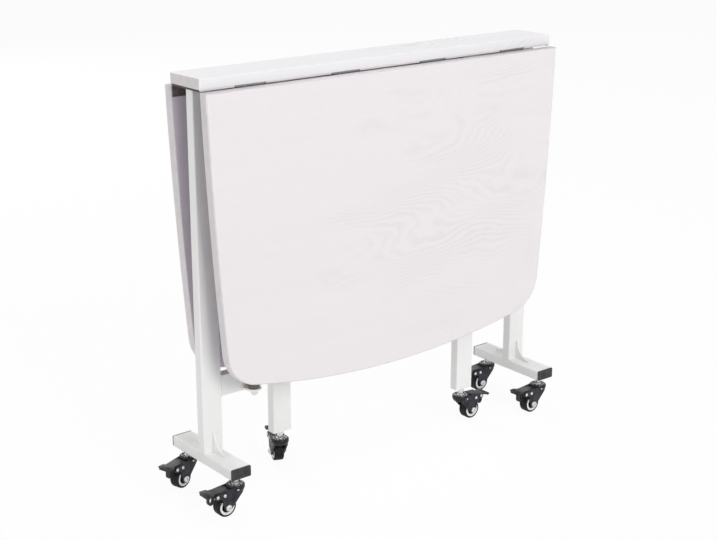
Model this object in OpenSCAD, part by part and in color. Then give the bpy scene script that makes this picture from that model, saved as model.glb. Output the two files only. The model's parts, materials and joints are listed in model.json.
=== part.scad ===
// Drop-leaf dining table on casters, folded. Millimetres, +Z up, the floor at Z = 0.
// X runs along the hinges, -Y is the front. The origin is the middle of the folded footprint.

/* [Table top] */
// Length of the top along the hinges
top_l = 800; // [700:10:1000]
// Width of the fixed strip between the leaves
strip_w = 88; // [84:1:110]
// Height of the top above the floor
table_h = 760; // [720:5:800]
// Thickness of the strip and of both leaves
board_t = 19; // [16:0.5:25]
// Radius that rounds the edges of the boards
edge_r = 2; // [1.5:0.25:6]
// Length of a leaf, from its hinged edge to the middle of its free edge
leaf_len = 550; // [480:5:580]
// Radius of the two outer corners of a leaf
leaf_corner_r = 70; // [40:5:120]
// Radius of the bowed free edge of a leaf
leaf_end_r = 1600; // [1200:50:3000]
// Radius of the slightly bowed sides of a leaf
leaf_side_r = 8500; // [6000:100:12000]
// How far the sides of a leaf lean in at the hinge, in degrees
leaf_side_lean = 2; // [0:0.5:3]

/* [Leaf hinges] */
// Number of hinges on each leaf
hinge_n = 4; // [2:1:4]
// Length of one hinge
hinge_l = 60; // [50:5:80]
// Distance between neighbouring hinges
hinge_pitch = 200; // [120:5:220]
// Reach of a hinge plate from the pin
hinge_reach = 20; // [18:1:24]
// Thickness of a hinge plate
hinge_t = 1.2; // [1:0.1:1.4]
// Outer radius of the hinge knuckles
knuckle_r = 1.9; // [1.7:0.05:2]
// Radius of the hinge pin
hinge_pin_r = 1; // [0.8:0.05:1.1]
// How far the pin lies below and inside the edge of the strip
pin_drop = 1.5; // [1.4:0.1:2]
// Gap between strip and leaf when the leaf is up
leaf_gap = 0.6; // [0.5:0.1:1.5]

/* [Frame] */
// Wide side of the steel tube
tube_w = 40; // [30:1:45]
// Narrow side of the steel tube
tube_t = 20; // [16:1:24]
// Wall of the steel tube
tube_wall = 1.5; // [1:0.25:2.5]
// Radius of the corners of the tube
tube_r = 2.5; // [1:0.5:4]
// Distance from the end of the top to the middle of a post
post_in = 27.5; // [25:0.5:65]
// Length of a foot, with its end caps
foot_l = 191; // [180:1:240]
// Distance from the end of a foot to a caster's stem
stem_in = 20; // [15.5:0.5:21.5]
// Height of the underside of the stretcher
stretcher_z = 190; // [170:1:220]
// Length of both legs of a gusset
gusset_l = 38; // [25:1:50]
// Thickness of a gusset
gusset_t = 3; // [2:0.5:5]
// Thickness of the plate between a post and the strip
plate_t = 3; // [2:0.5:4]
// Thickness of the flange of an end cap
cap_t = 2.5; // [2:0.5:4]

/* [Gates] */
// Distance from the middle plane of the table to the middle of a gate
gate_y = 27; // [25.5:0.5:28]
// Distance from the middle of the table to a gate's leg
gate_leg_x = 203; // [120:1:240]
// Distance from the middle of the table to a gate's pivot
gate_pivot_x = 295; // [280:1:310]
// Gap between the top of a gate's leg and a raised leaf
gate_drop = 4; // [3:0.5:10]
// How far the gates' casters hang above the floor
gate_lift = 3.5; // [0:0.5:6]
// Height of the underside of the lower arm
low_arm_z = 210; // [209:1:260]
// Height of the underside of the pivot tube
pivot_tube_z = 208; // [206:0.5:212]
// Outer radius of the pivot tube
pivot_r = 10; // [8:0.5:10]
// Radius of the pivot rod
rod_r = 4; // [3:0.25:5]
// Thickness of the bracket that carries a gate
bracket_t = 3; // [2:0.5:4]

/* [Casters] */
// Diameter of a wheel
wheel_d = 38; // [36:1:50]
// Width of the tread
tread_w = 19; // [16:0.5:24]
// Distance from the stem to the wheel's axle
trail = 23.5; // [22:0.5:26]
// Height from the top of the wheel to the tube above it
head_h = 32; // [32:0.5:40]
// Gap between the bright swivel cap and the foot above it
neck_h = 14; // [12:0.5:14]
// Radius of the bright swivel cap
cap_r = 16; // [15:0.5:17]
// Radius of the stem
stem_r = 4; // [3:0.25:5]
// Radius of the axle
axle_r = 3; // [2.5:0.25:4]
// Thickness of a side plate of the fork
fork_t = 3; // [2:0.25:4]
// Distance from the stem to the tip of the brake pedal
pedal_reach = 67; // [64:0.5:70]
// Width of the tip of the brake pedal
pedal_w = 29; // [26:1:30]
// Travel of the brake pedal, in degrees
pedal_press = 12; // [8:1:14]

/* [Hidden] */
$fn = 48;

paint = "#eeeeec";
board_white = "#ece8e9";
black = "#26262a";
charcoal = "#44454b";
steel = "#b9bcc0";
rim_grey = "#dcdcda";
sleeve_brass = "#c9b68c";

// Clearances
slip = 0.05;     // radius between a shaft and its hole
air = 0.3;       // between faces that move past each other
sink = 0.1;      // between a screw and its pilot hole

post_x = top_l / 2 - post_in;
stem_y = foot_l / 2 - stem_in;

// The middle of the top, seen from the middle of the footprint: the pedals on the left
// reach past the end of the top
mid_x = (post_x + pedal_reach - max(top_l / 2, post_x + tube_w / 2)) / 2;

// Levels
under_z = table_h - board_t;
plate_z = under_z - plate_t;
foot_z = wheel_d + head_h;
post_z = foot_z + tube_t;
gate_top_z = under_z - gate_drop;
pin_z = under_z - pin_drop;
pin_y = strip_w / 2 - pin_drop;
leaf_edge_z = pin_z - pin_drop - leaf_gap;
leaf_in_y = pin_y + pin_drop;

// Hinges, in their own frame: X along the pin, +Y over the plate, the plate above the pin
knuckle_n = 5;
knuckle_l = hinge_l / knuckle_n;
hinge_at = [for (i = [0 : hinge_n - 1]) (i - (hinge_n - 1) / 2) * hinge_pitch];
screw_at = [[-hinge_l / 3, hinge_reach * 0.7], [0, hinge_reach * 0.45],
            [hinge_l / 3, hinge_reach * 0.7]];
screw_r = 1.4;
screw_head_r = 2.7;
screw_head_t = 1.2;
screw_len = 11;

// Plates on the posts
plate_in = tube_w / 2 + 25;
plate_screw_y = tube_t / 2 + 4.5;
plate_half_w = plate_screw_y + 5.5;
plate_screws = [for (x = [-plate_in + 9, tube_w / 2 - 12], y = [-1, 1]) [x, y * plate_screw_y]];

// Gates
gate_seat = 3;
pivot_top_z = gate_top_z - 10;
bush_z = pivot_tube_z - air;
bracket_w = 34;
ear_r = 13;
bracket_h = 33;
low_ear_z = pivot_tube_z - 10 - bracket_t;
top_ear_z = pivot_top_z + 3 + bracket_t;
rod_head_t = 3.5;
rod_nut_t = 6;
rod_washer_r = 9;
rod_washer_t = 1.5;
pivot_bore = pivot_r - tube_wall;

// Casters: the stem stands at the origin and the wheel trails towards +X
wheel_r = wheel_d / 2;
gate_foot_z = foot_z + gate_lift;
nut_t = 6;
disc_t = 2.5;
drum_r = cap_r - 1.2;
disc_z = foot_z - neck_h - disc_t;
drum_h = 10;
drum_z = disc_z - drum_h;
fork_in = tread_w / 2 + 1;
fork_out = fork_in + fork_t;
fork_end_r = 7.5;
brake_pin = [trail + 7, wheel_d + 5.5];
rivet = [trail + 21.3, wheel_d + 6.2];
front_rivet = [4, wheel_d + 10];
brake_pin_r = 1.6;
rivet_head_r = 2.7;
rim_r = wheel_r * 0.79;
ring_r = wheel_r * 0.55;
pedal_t = 2.2;
pedal_z = disc_z - 5;
pedal_rise = 1.5;
pedal_from = drum_r + 2.5;
pedal_tip_from = rivet[0] + 6.8;
neck_w = 2 * (fork_in - 0.4);
cheek_t = 1.6;
cheek_in = fork_in - air - cheek_t;
retainer_r = stem_r + 3;
retainer_t = 2.5;

// Where each caster stands in X, Y and Z, which way its wheel trails, and how far its pedal is down
left_x = mid_x - post_x;
right_x = mid_x + post_x;
front_left_at = [left_x, -stem_y, 0, 180, 0];
rear_left_at = [left_x, stem_y, 0, 196, 0];
front_right_at = [right_x, -stem_y, 0, 180, 0];
rear_right_at = [right_x, stem_y, 0, 180, 0];
front_gate_at = [mid_x + gate_leg_x, -gate_y, gate_lift, 0, pedal_press];
rear_gate_at = [mid_x - gate_leg_x, gate_y, gate_lift, 68, 0];

// Outline of a leaf: X across, Y down from the hinged edge, drawn inside by i all round
function cross_circles(a, ra, b, rb) =
    let (d = norm(b - a), u = (b - a) / d, k = (ra * ra - rb * rb + d * d) / (2 * d),
         h = sqrt(ra * ra - k * k))
    a + k * u + h * [u[1], -u[0]];

function arc(c, r, from, to, n) =
    [for (k = [0 : n]) let (a = from + (to - from) * k / n) c + r * [cos(a), sin(a)]];

function heading(v) = atan2(v[1], v[0]);

function leaf_half(i) =
    let (side = [top_l / 2, 0] - leaf_side_r * [cos(leaf_side_lean), sin(leaf_side_lean)],
         end = [0, leaf_len - leaf_end_r],
         corner = cross_circles(end, leaf_end_r - leaf_corner_r,
                                side, leaf_side_r - leaf_corner_r),
         start = asin((i - side[1]) / (leaf_side_r - i)),
         turn_a = heading(corner - side), turn_b = heading(corner - end))
    concat(arc(side, leaf_side_r - i, start, turn_a, 6),
           arc(corner, leaf_corner_r - i, turn_a, turn_b, 10),
           arc(end, leaf_end_r - i, turn_b, 90, 8));

function leaf_outline(i) =
    let (half = leaf_half(i), last = len(half) - 1)
    concat(half, [for (k = [last - 1 : -1 : 0]) [-half[k][0], half[k][1]]]);

// Outline that wraps a loop of circles [x, y, r], given in anticlockwise order
function tangent(p, q) =
    atan2(q[1] - p[1], q[0] - p[0]) - acos((p[2] - q[2]) / norm([q[0] - p[0], q[1] - p[1]]));

function wrap(c, n = 8) =
    [for (i = [0 : len(c) - 1])
        let (from = tangent(c[(i + len(c) - 1) % len(c)], c[i]),
             raw = tangent(c[i], c[(i + 1) % len(c)]),
             to = raw < from ? raw + 360 : raw)
        for (p = arc([c[i][0], c[i][1]], c[i][2], from, to, n)) p];

// Shared shapes

// A rectangle with rounded corners, centred
module rounded(w, h, r) {
    square([w - 2 * r, h], center = true);
    square([w, h - 2 * r], center = true);
    for (x = [-1, 1], y = [-1, 1]) translate([x * (w / 2 - r), y * (h / 2 - r)]) circle(r = r);
}

// A tube along Z with its foot at the origin: w across X, t across Y
module tube(w, t, l, wall = tube_wall) {
    linear_extrude(l) difference() {
        rounded(w, t, tube_r);
        rounded(w - 2 * wall, t - 2 * wall, max(tube_r - wall, 0.4));
    }
}

// A profile drawn in X and Z, given a thickness in Y from y0 to y1
module side_plate(y0, y1) {
    translate([0, y1, 0]) rotate([90, 0, 0]) linear_extrude(y1 - y0) children();
}

// A shaft or hole across Y through a point [x, z]
module cross_bar(at, r, y0, y1) {
    translate([at[0], y1, at[1]]) rotate([90, 0, 0]) cylinder(r = r, h = y1 - y0);
}

// A screw that points up, its head under the origin
module wood_screw() {
    translate([0, 0, -screw_head_t]) cylinder(r = screw_head_r, h = screw_head_t);
    cylinder(r = screw_r, h = screw_len);
}

module pilot_hole() {
    translate([0, 0, -1]) cylinder(r = screw_r + sink, h = screw_len + 2);
}

// Puts its child on both sides, the rear one turned half round about the middle of the table
module both_gates() {
    front_gate_side() children();
    rear_gate_side() children();
}

module front_gate_side() translate([mid_x - gate_pivot_x, -gate_y, 0]) children();

module rear_gate_side() translate([mid_x + gate_pivot_x, gate_y, 0]) rotate([0, 0, 180]) children();

module at_caster(p) translate([p[0], p[1], p[2]]) rotate([0, 0, p[3]]) children();

// Table top

module center_top() {
    color(board_white) difference() {
        intersection() {
            translate([mid_x - top_l / 2, 0, under_z + board_t / 2]) rotate([90, 0, 90])
                linear_extrude(top_l) rounded(strip_w, board_t, edge_r);
            translate([mid_x, strip_w / 2, under_z + board_t / 2]) rotate([90, 0, 0])
                linear_extrude(strip_w) rounded(top_l, board_t, edge_r);
        }
        plate_screw_places() pilot_hole();
        fixed_screw_places() translate([0, 0, hinge_t]) pilot_hole();
        hinge_places() knuckle_groove();
    }
}

module plate_screw_places() {
    for (s = [-1, 1], p = plate_screws)
        translate([mid_x + s * (post_x + p[0]), p[1], under_z]) children();
}

// Each hinge stands on its pin, its plate towards the middle plane of the table
module hinge_places() {
    for (x = hinge_at, s = [-1, 1])
        translate([mid_x + x, s * pin_y, pin_z]) scale_side(s) children();
}

// The front side runs towards +Y and the rear side is its half turn
module scale_side(s) rotate([0, 0, s < 0 ? 0 : 180]) children();

// Screw places under the fixed plates
module fixed_screw_places() {
    hinge_places() for (p = screw_at) translate([p[0], p[1], pin_drop - hinge_t]) children();
}

// The plate of a hinge above its pin; the knuckles of its own half join it, and notches
// leave room for the knuckles of the other half
module hinge_half(own) {
    notch = knuckle_r + air;
    difference() {
        union() {
            translate([-hinge_l / 2, 0, pin_drop - hinge_t]) cube([hinge_l, hinge_reach, hinge_t]);
            for (k = own) translate([knuckle_from(k) + air / 2, 0, 0]) rotate([0, 90, 0])
                cylinder(r = knuckle_r, h = knuckle_l - air);
        }
        for (k = [0 : knuckle_n - 1]) if (len(search(k, own)) == 0)
            translate([knuckle_from(k) - air / 2, -notch, -notch])
                cube([knuckle_l + air, 2 * notch, 2 * notch]);
        translate([-hinge_l, 0, 0]) rotate([0, 90, 0])
            cylinder(r = hinge_pin_r + slip, h = 2 * hinge_l);
        for (p = screw_at) translate([p[0], p[1], -1]) cylinder(r = screw_r + sink, h = 4);
    }
}

// Room for all the knuckles of a hinge in the edge of a board
module knuckle_groove() {
    translate([-hinge_l / 2 - air, 0, 0]) rotate([0, 90, 0])
        cylinder(r = knuckle_r + air, h = hinge_l + 2 * air);
}

function knuckle_from(k) = -hinge_l / 2 + k * knuckle_l;

module fixed_hinge_plates() {
    color(steel) hinge_places() {
        hinge_half([0, 2, 4]);
        translate([-hinge_l / 2, 0, 0]) rotate([0, 90, 0]) cylinder(r = hinge_pin_r, h = hinge_l);
    }
}

// The leaf's half hangs from the pin: its plate lies on the inner face of the leaf
module leaf_hinge_places() {
    for (x = hinge_at) translate([x, 0, 0]) rotate([-90, 0, 0]) mirror([0, 0, 1]) children();
}

module leaf_hinges() {
    color(steel) leaf_hinge_places() {
        hinge_half([1, 3]);
        for (p = screw_at) translate([p[0], p[1], pin_drop - hinge_t]) wood_screw();
    }
}

// The leaf in the frame of its pin: -Y is outwards and -Z is down
module leaf() {
    skin = 0.02;
    color(board_white) difference() {
        translate([0, -pin_drop - board_t / 2, leaf_edge_z - pin_z]) hull() {
            leaf_slice(0, board_t - 2 * edge_r);
            for (a = [22.5 : 22.5 : 90], s = [-1, 1])
                translate([0, s * (board_t / 2 - edge_r * (1 - sin(a)) - skin / 2), 0])
                    leaf_slice(edge_r * (1 - cos(a)), skin);
        }
        leaf_hinge_places() for (p = screw_at)
            translate([p[0], p[1], pin_drop - hinge_t]) pilot_hole();
        leaf_hinge_places() knuckle_groove();
    }
}

module leaf_slice(i, t) {
    side_plate(-t / 2, t / 2) mirror([0, 1]) polygon(leaf_outline(i));
}

module front_side() translate([mid_x, -pin_y, pin_z]) children();

module rear_side() translate([mid_x, pin_y, pin_z]) rotate([0, 0, 180]) children();

module front_leaf() front_side() leaf();

module front_leaf_hinges() front_side() leaf_hinges();

module rear_leaf() rear_side() leaf();

module rear_leaf_hinges() rear_side() leaf_hinges();

module top_plates() {
    color(paint) for (s = [-1, 1]) difference() {
        translate([mid_x + s * (post_x + (tube_w / 2 - plate_in) / 2), 0, plate_z])
            linear_extrude(plate_t) rounded(plate_in + tube_w / 2, 2 * plate_half_w, 4);
        plate_screw_places() translate([0, 0, -plate_t - 1]) cylinder(r = screw_r + sink, h = 9);
    }
}

module top_screws() {
    color(steel) {
        plate_screw_places() translate([0, 0, -plate_t]) wood_screw();
        fixed_screw_places() wood_screw();
    }
}

// Frame

module post(x) {
    color(paint) translate([x, 0, post_z]) tube(tube_w, tube_t, plate_z - post_z);
}

module left_post() post(left_x);

module right_post() post(right_x);

module foot(x) {
    color(paint) difference() {
        translate([x, foot_l / 2 - cap_t, foot_z + tube_t / 2]) rotate([90, 0, 0])
            tube(tube_w, tube_t, foot_l - 2 * cap_t);
        for (y = [-1, 1]) translate([x, y * stem_y, foot_z - 1])
            cylinder(r = stem_r + sink, h = tube_wall + 2);
    }
}

module left_foot() foot(left_x);

module right_foot() foot(right_x);

// A ribbed plastic cap with a plug that fits the tube, facing +Z
module end_cap() {
    plug_l = 9;
    fit = tube_wall + air / 2;
    ribs = 5;
    linear_extrude(cap_t) rounded(tube_w, tube_t, tube_r);
    translate([0, 0, -plug_l]) linear_extrude(plug_l) difference() {
        rounded(tube_w - 2 * fit, tube_t - 2 * fit, max(tube_r - tube_wall, 0.4));
        rounded(tube_w - 2 * fit - 4, tube_t - 2 * fit - 4, 0.4);
    }
    for (i = [0 : ribs - 1]) translate([0, (i - (ribs - 1) / 2) * tube_t / (ribs + 0.6), cap_t])
        linear_extrude(0.6) square([tube_w - 5, tube_t / ribs * 0.45], center = true);
}

module foot_end_caps() {
    color(charcoal) for (x = [left_x, right_x], s = [-1, 1])
        translate([x, s * (foot_l / 2 - cap_t), foot_z + tube_t / 2]) rotate([-90 * s, 0, 0])
            end_cap();
}

module foot_gussets() {
    tip = 4;
    color(paint) for (x = [left_x, right_x], s = [0, 180])
        translate([x, 0, 0]) rotate([0, 0, s]) translate([-gusset_t / 2, tube_t / 2, post_z])
            rotate([90, 0, 90]) linear_extrude(gusset_t) difference() {
                square(gusset_l);
                translate([gusset_l, gusset_l]) circle(r = gusset_l - tip);
            }
}

module rail(z) {
    color(paint) translate([left_x + tube_w / 2, 0, z + tube_w / 2]) rotate([0, 90, 0])
        tube(tube_w, tube_t, 2 * post_x - tube_w);
}

module upper_rail() rail(plate_z - tube_w);

module lower_stretcher() rail(stretcher_z);

// Gate pivots, in the frame of a gate: the pivot at the origin, the frame towards +Y

module ear(z) {
    back_y = gate_y - tube_t / 2;
    translate([0, 0, z]) linear_extrude(bracket_t) polygon(wrap([
        [0, 0, ear_r], [bracket_w / 2 - 1, back_y - 1, 1], [1 - bracket_w / 2, back_y - 1, 1]]));
}

module bracket(ear_z, back_z) {
    back_y = gate_y - tube_t / 2;
    difference() {
        union() {
            ear(ear_z);
            translate([-bracket_w / 2, back_y - bracket_t, back_z])
                cube([bracket_w, bracket_t, bracket_h]);
        }
        translate([0, 0, ear_z - 1]) cylinder(r = rod_r + sink, h = bracket_t + 2);
    }
}

module gate_brackets() {
    color(sleeve_brass) both_gates() {
        bracket(low_ear_z, low_ear_z);
        bracket(top_ear_z - bracket_t, top_ear_z - bracket_h);
    }
}

// A top-hat bush: its flange between z0 and z1, its sleeve inside the pivot tube
module bush(z0, z1, sleeve_from, sleeve_to) {
    difference() {
        union() {
            translate([0, 0, z0]) cylinder(r = pivot_r, h = z1 - z0);
            translate([0, 0, sleeve_from])
                cylinder(r = pivot_bore - slip, h = sleeve_to - sleeve_from);
        }
        translate([0, 0, sleeve_from - 1]) cylinder(r = rod_r + slip, h = sleeve_to - z0 + 40);
        translate([0, 0, z0 - 1]) cylinder(r = rod_r + slip, h = sleeve_to - z0 + 40);
    }
}

module gate_pivot_bushes() {
    sleeve = 15;
    color(black) both_gates() {
        bush(low_ear_z + bracket_t, bush_z, low_ear_z + bracket_t, bush_z + sleeve);
        bush(pivot_top_z + air, top_ear_z - bracket_t, pivot_top_z + air - sleeve,
             top_ear_z - bracket_t);
    }
}

module gate_pivot_rods() {
    foot = low_ear_z - rod_washer_t - rod_nut_t - 3;
    color(steel) both_gates() {
        translate([0, 0, foot]) cylinder(r = rod_r, h = top_ear_z - foot);
        translate([0, 0, top_ear_z]) cylinder(r = rod_r + 2.5, h = rod_head_t);
        translate([0, 0, low_ear_z - rod_washer_t]) cylinder(r = rod_washer_r, h = rod_washer_t);
        translate([0, 0, low_ear_z - rod_washer_t - rod_nut_t])
            cylinder(r = rod_r * 1.8, h = rod_nut_t, $fn = 6);
    }
}

module gate_pivot_tube() {
    color(paint) difference() {
        translate([0, 0, pivot_tube_z]) cylinder(r = pivot_r, h = pivot_top_z - pivot_tube_z);
        translate([0, 0, pivot_tube_z - 1])
            cylinder(r = pivot_bore, h = pivot_top_z - pivot_tube_z + 2);
    }
}

// An arm from the pivot tube to the leg, its end coped round the pivot tube
module gate_arm(z) {
    color(paint) difference() {
        translate([0, 0, z + tube_w / 2]) rotate([0, 90, 0])
            tube(tube_w, tube_t, gate_pivot_x + gate_leg_x - tube_w / 2);
        translate([0, 0, z - 1]) cylinder(r = pivot_r, h = tube_w + 2);
        translate([-2 * pivot_r, -tube_t, z - 1]) cube([2 * pivot_r, 2 * tube_t, tube_w + 2]);
    }
}

// The leg is closed at both ends, and the caster's stem passes its foot
module gate_leg() {
    leg_h = gate_top_z - gate_foot_z;
    color(paint) translate([gate_pivot_x + gate_leg_x, 0, gate_foot_z]) difference() {
        linear_extrude(leg_h) rounded(tube_w, tube_t, tube_r);
        translate([0, 0, gate_seat]) linear_extrude(leg_h - gate_seat - tube_wall)
            rounded(tube_w - 2 * tube_wall, tube_t - 2 * tube_wall, max(tube_r - tube_wall, 0.4));
        translate([0, 0, -1]) cylinder(r = stem_r + sink, h = gate_seat + 2);
    }
}

module front_gate_leg() front_gate_side() gate_leg();

module front_gate_upper_arm() front_gate_side() gate_arm(pivot_top_z - tube_w);

module front_gate_lower_arm() front_gate_side() gate_arm(low_arm_z);

module front_gate_pivot_tube() front_gate_side() gate_pivot_tube();

module rear_gate_leg() rear_gate_side() gate_leg();

module rear_gate_upper_arm() rear_gate_side() gate_arm(pivot_top_z - tube_w);

module rear_gate_lower_arm() rear_gate_side() gate_arm(low_arm_z);

module rear_gate_pivot_tube() rear_gate_side() gate_pivot_tube();

// Casters

// The stem through the wall of a tube: a collar and a nut under it, a nut above it, and the head
// that keeps the fork on
module caster_stem(wall) {
    z = foot_z;
    color(steel) {
        translate([0, 0, drum_z + 2]) cylinder(r = retainer_r, h = retainer_t);
        translate([0, 0, drum_z + 2]) cylinder(r = stem_r, h = z + wall + 9 - drum_z - 2);
        translate([0, 0, disc_z + disc_t + air])
            cylinder(r = stem_r + 1.5, h = z - nut_t - 1 - disc_z - disc_t - air);
        translate([0, 0, z - nut_t - 1]) cylinder(r = stem_r + 3, h = nut_t, $fn = 6);
        translate([0, 0, z - 1]) cylinder(r = stem_r + 4, h = 1);
        translate([0, 0, z + wall]) cylinder(r = stem_r + 2.5, h = 6, $fn = 6);
    }
}

module foot_caster_stems() {
    for (p = [front_left_at, rear_left_at, front_right_at, rear_right_at])
        at_caster(p) caster_stem(tube_wall);
}

module front_gate_caster_stem() at_caster(front_gate_at) caster_stem(gate_seat);

module rear_gate_caster_stem() at_caster(rear_gate_at) caster_stem(gate_seat);

// A side plate: an arm down to the axle and a shoulder back to the rivet
module fork_outline() {
    front = [-0.5, disc_z - 8, 7.5];
    polygon(wrap([[trail, wheel_r, fork_end_r], [brake_pin[0] + 0.5, brake_pin[1], 5.5], front]));
    polygon(wrap([[rivet[0] - 0.5, rivet[1] - 0.5, 5.5], front, [brake_pin[0], brake_pin[1], 5]]));
}

module caster_fork() {
    color(charcoal) difference() {
        union() {
            translate([0, 0, drum_z]) cylinder(r = drum_r, h = drum_h);
            for (s = [-1, 1]) side_plate(min(s * fork_in, s * fork_out), max(s * fork_in, s * fork_out))
                fork_outline();
        }
        translate([0, 0, drum_z - 1]) cylinder(r = stem_r + slip, h = drum_h + 2);
        translate([0, 0, drum_z - 1]) cylinder(r = retainer_r + 1, h = 3 + retainer_t + air);
        cross_bar([trail, wheel_r], axle_r + slip, -fork_out - 1, fork_out + 1);
        cross_bar(brake_pin, brake_pin_r + slip, -fork_out - 1, fork_out + 1);
        cross_bar(rivet, brake_pin_r + slip, -fork_out - 1, fork_out + 1);
        for (s = [0, 180]) rotate([0, 0, s]) mirror([s / 180, 0, 0]) {
            cross_bar(front_rivet, brake_pin_r + slip, fork_in - slip, fork_out + 1);
            cross_bar(front_rivet, rivet_head_r + air, fork_out, drum_r + 1);
        }
    }
}

// Swivel cap, axle bolt, brake pin and two rivets
module caster_hardware() {
    head_t = 1.4;
    color(steel) {
        translate([0, 0, disc_z]) rotate_extrude() polygon([[stem_r + slip, 0], [cap_r, 0],
            [cap_r, disc_t * 0.5], [cap_r - 1.5, disc_t], [stem_r + slip, disc_t]]);
        cross_bar([trail, wheel_r], axle_r, -fork_out, fork_out);
        for (s = [-1, 1]) {
            bolt_head([trail, wheel_r], s, 5.8, 3.6);
            for (at = [brake_pin, rivet, front_rivet]) bolt_head(at, s, rivet_head_r, head_t);
            for (at = [rivet, front_rivet]) cross_bar(at, brake_pin_r,
                s * (fork_in + fork_out) / 2 - fork_t / 2, s * (fork_in + fork_out) / 2 + fork_t / 2);
        }
        cross_bar(brake_pin, brake_pin_r, -fork_out, fork_out);
    }
}

// A domed head on the outside of a fork plate
module bolt_head(at, s, r, h) {
    translate([at[0], s * fork_out, at[1]]) rotate([-90 * s, 0, 0]) rotate_extrude() polygon(
        [[0, 0], [r, 0], [r, h * 0.45], [r * 0.8, h * 0.8], [r * 0.45, h], [0, h]]);
}

module wheel_rim() {
    hub_r = axle_r + 3.5;
    hub_half = fork_in - air;
    ring_half = tread_w / 2 - 0.4;
    web_half = tread_w * 0.2;
    color(rim_grey) translate([trail, 0, wheel_r]) rotate([90, 0, 0]) rotate_extrude()
        polygon([[axle_r + slip, -hub_half], [hub_r, -hub_half], [hub_r, -web_half],
                 [ring_r, -web_half], [ring_r + 0.6, -ring_half], [rim_r, -ring_half],
                 [rim_r, ring_half], [ring_r + 0.6, ring_half], [ring_r, web_half],
                 [hub_r, web_half], [hub_r, hub_half], [axle_r + slip, hub_half]]);
}

module tyre() {
    half = tread_w / 2;
    soft = 3;
    color(black) translate([trail, 0, wheel_r]) rotate([90, 0, 0]) rotate_extrude()
        difference() {
            union() {
                translate([rim_r, -half]) square([wheel_r - rim_r - soft, tread_w]);
                translate([rim_r, -half + soft]) square([wheel_r - rim_r, tread_w - 2 * soft]);
                for (s = [-1, 1]) translate([wheel_r - soft, s * (half - soft)]) circle(r = soft);
            }
            translate([0, -half - 1]) square([rim_r, tread_w + 2]);
        }
}

// The pedal from above: a neck between the side plates and a wide tip behind them
module pedal_plan() {
    polygon(wrap([[pedal_from + 3, 3 - neck_w / 2, 3], [pedal_tip_from + 3, 3 - neck_w / 2, 3],
                  [pedal_tip_from + 3, neck_w / 2 - 3, 3], [pedal_from + 3, neck_w / 2 - 3, 3]]));
    polygon(wrap([[pedal_tip_from + 3, 3 - pedal_w / 2, 3], [pedal_reach - 4, 4 - pedal_w / 2, 4],
                  [pedal_reach - 4, pedal_w / 2 - 4, 4], [pedal_tip_from + 3, pedal_w / 2 - 3, 3]]));
}

// The pedal in its released place
module pedal_shape() {
    loop = [trail + 29, pedal_z - 14.5];
    difference() {
        union() {
            intersection() {
                side_plate(-pedal_w, pedal_w) polygon([
                    [pedal_from, pedal_z], [pedal_reach, pedal_z + pedal_rise],
                    [pedal_reach, pedal_z + pedal_rise + pedal_t],
                    [pedal_from, pedal_z + pedal_t]]);
                translate([0, 0, pedal_z - 20]) linear_extrude(40) pedal_plan();
            }
            // Turned-down lip at the tip
            side_plate(-pedal_w / 2 + 4, pedal_w / 2 - 4) translate([pedal_reach - 2.2, pedal_z - 1.5])
                square([2.2, pedal_rise + 3]);
            for (s = [-1, 1]) side_plate(s < 0 ? -cheek_in - cheek_t : cheek_in,
                                         s < 0 ? -cheek_in : cheek_in + cheek_t)
                polygon(wrap([[brake_pin[0], brake_pin[1], brake_pin_r + 2.4],
                              [rivet[0] + 6, pedal_z, 2], [brake_pin[0] - 7, pedal_z + 0.5, 1.5]]));
            translate([brake_pin[0], -cheek_in, wheel_d - 4])
                cube([9, 2 * cheek_in, pedal_z - wheel_d + 5]);
            side_plate(-3, 3) difference() {
                polygon(wrap([[loop[0], loop[1], 6.3], [loop[0] + 4, pedal_z + 1, 2],
                              [loop[0] - 7, pedal_z + 1, 2]]));
                polygon(wrap([[loop[0], loop[1], 3], [loop[0], loop[1] + 5, 3]]));
            }
        }
        cross_bar(brake_pin, brake_pin_r + slip, -fork_out, fork_out);
        brake_travel(-pedal_press) cross_bar([trail, wheel_r], wheel_r + air, -fork_out, fork_out);
    }
}

// Turns its child about the brake pin, tip down
module brake_travel(a) {
    translate([brake_pin[0], 0, brake_pin[1]]) rotate([0, a, 0])
        translate([-brake_pin[0], 0, -brake_pin[1]]) children();
}

module brake_pedal(down) {
    color(black) brake_travel(down) pedal_shape();
}

center_top();
left_post();
right_post();
left_foot();
right_foot();
foot_end_caps();
foot_gussets();
upper_rail();
lower_stretcher();
top_plates();
top_screws();
fixed_hinge_plates();
gate_brackets();
gate_pivot_bushes();
gate_pivot_rods();
foot_caster_stems();
front_leaf();
front_leaf_hinges();
rear_leaf();
rear_leaf_hinges();
front_gate_leg();
front_gate_upper_arm();
front_gate_lower_arm();
front_gate_pivot_tube();
front_gate_caster_stem();
rear_gate_leg();
rear_gate_upper_arm();
rear_gate_lower_arm();
rear_gate_pivot_tube();
rear_gate_caster_stem();
at_caster(front_left_at) caster_fork();  // front_left_caster_fork
at_caster(front_left_at) caster_hardware();  // front_left_caster_hardware
at_caster(front_left_at) wheel_rim();  // front_left_wheel_rim
at_caster(front_left_at) tyre();  // front_left_tyre
at_caster(front_left_at) brake_pedal(front_left_at[4]);  // front_left_brake_pedal
at_caster(rear_left_at) caster_fork();  // rear_left_caster_fork
at_caster(rear_left_at) caster_hardware();  // rear_left_caster_hardware
at_caster(rear_left_at) wheel_rim();  // rear_left_wheel_rim
at_caster(rear_left_at) tyre();  // rear_left_tyre
at_caster(rear_left_at) brake_pedal(rear_left_at[4]);  // rear_left_brake_pedal
at_caster(front_right_at) caster_fork();  // front_right_caster_fork
at_caster(front_right_at) caster_hardware();  // front_right_caster_hardware
at_caster(front_right_at) wheel_rim();  // front_right_wheel_rim
at_caster(front_right_at) tyre();  // front_right_tyre
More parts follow.
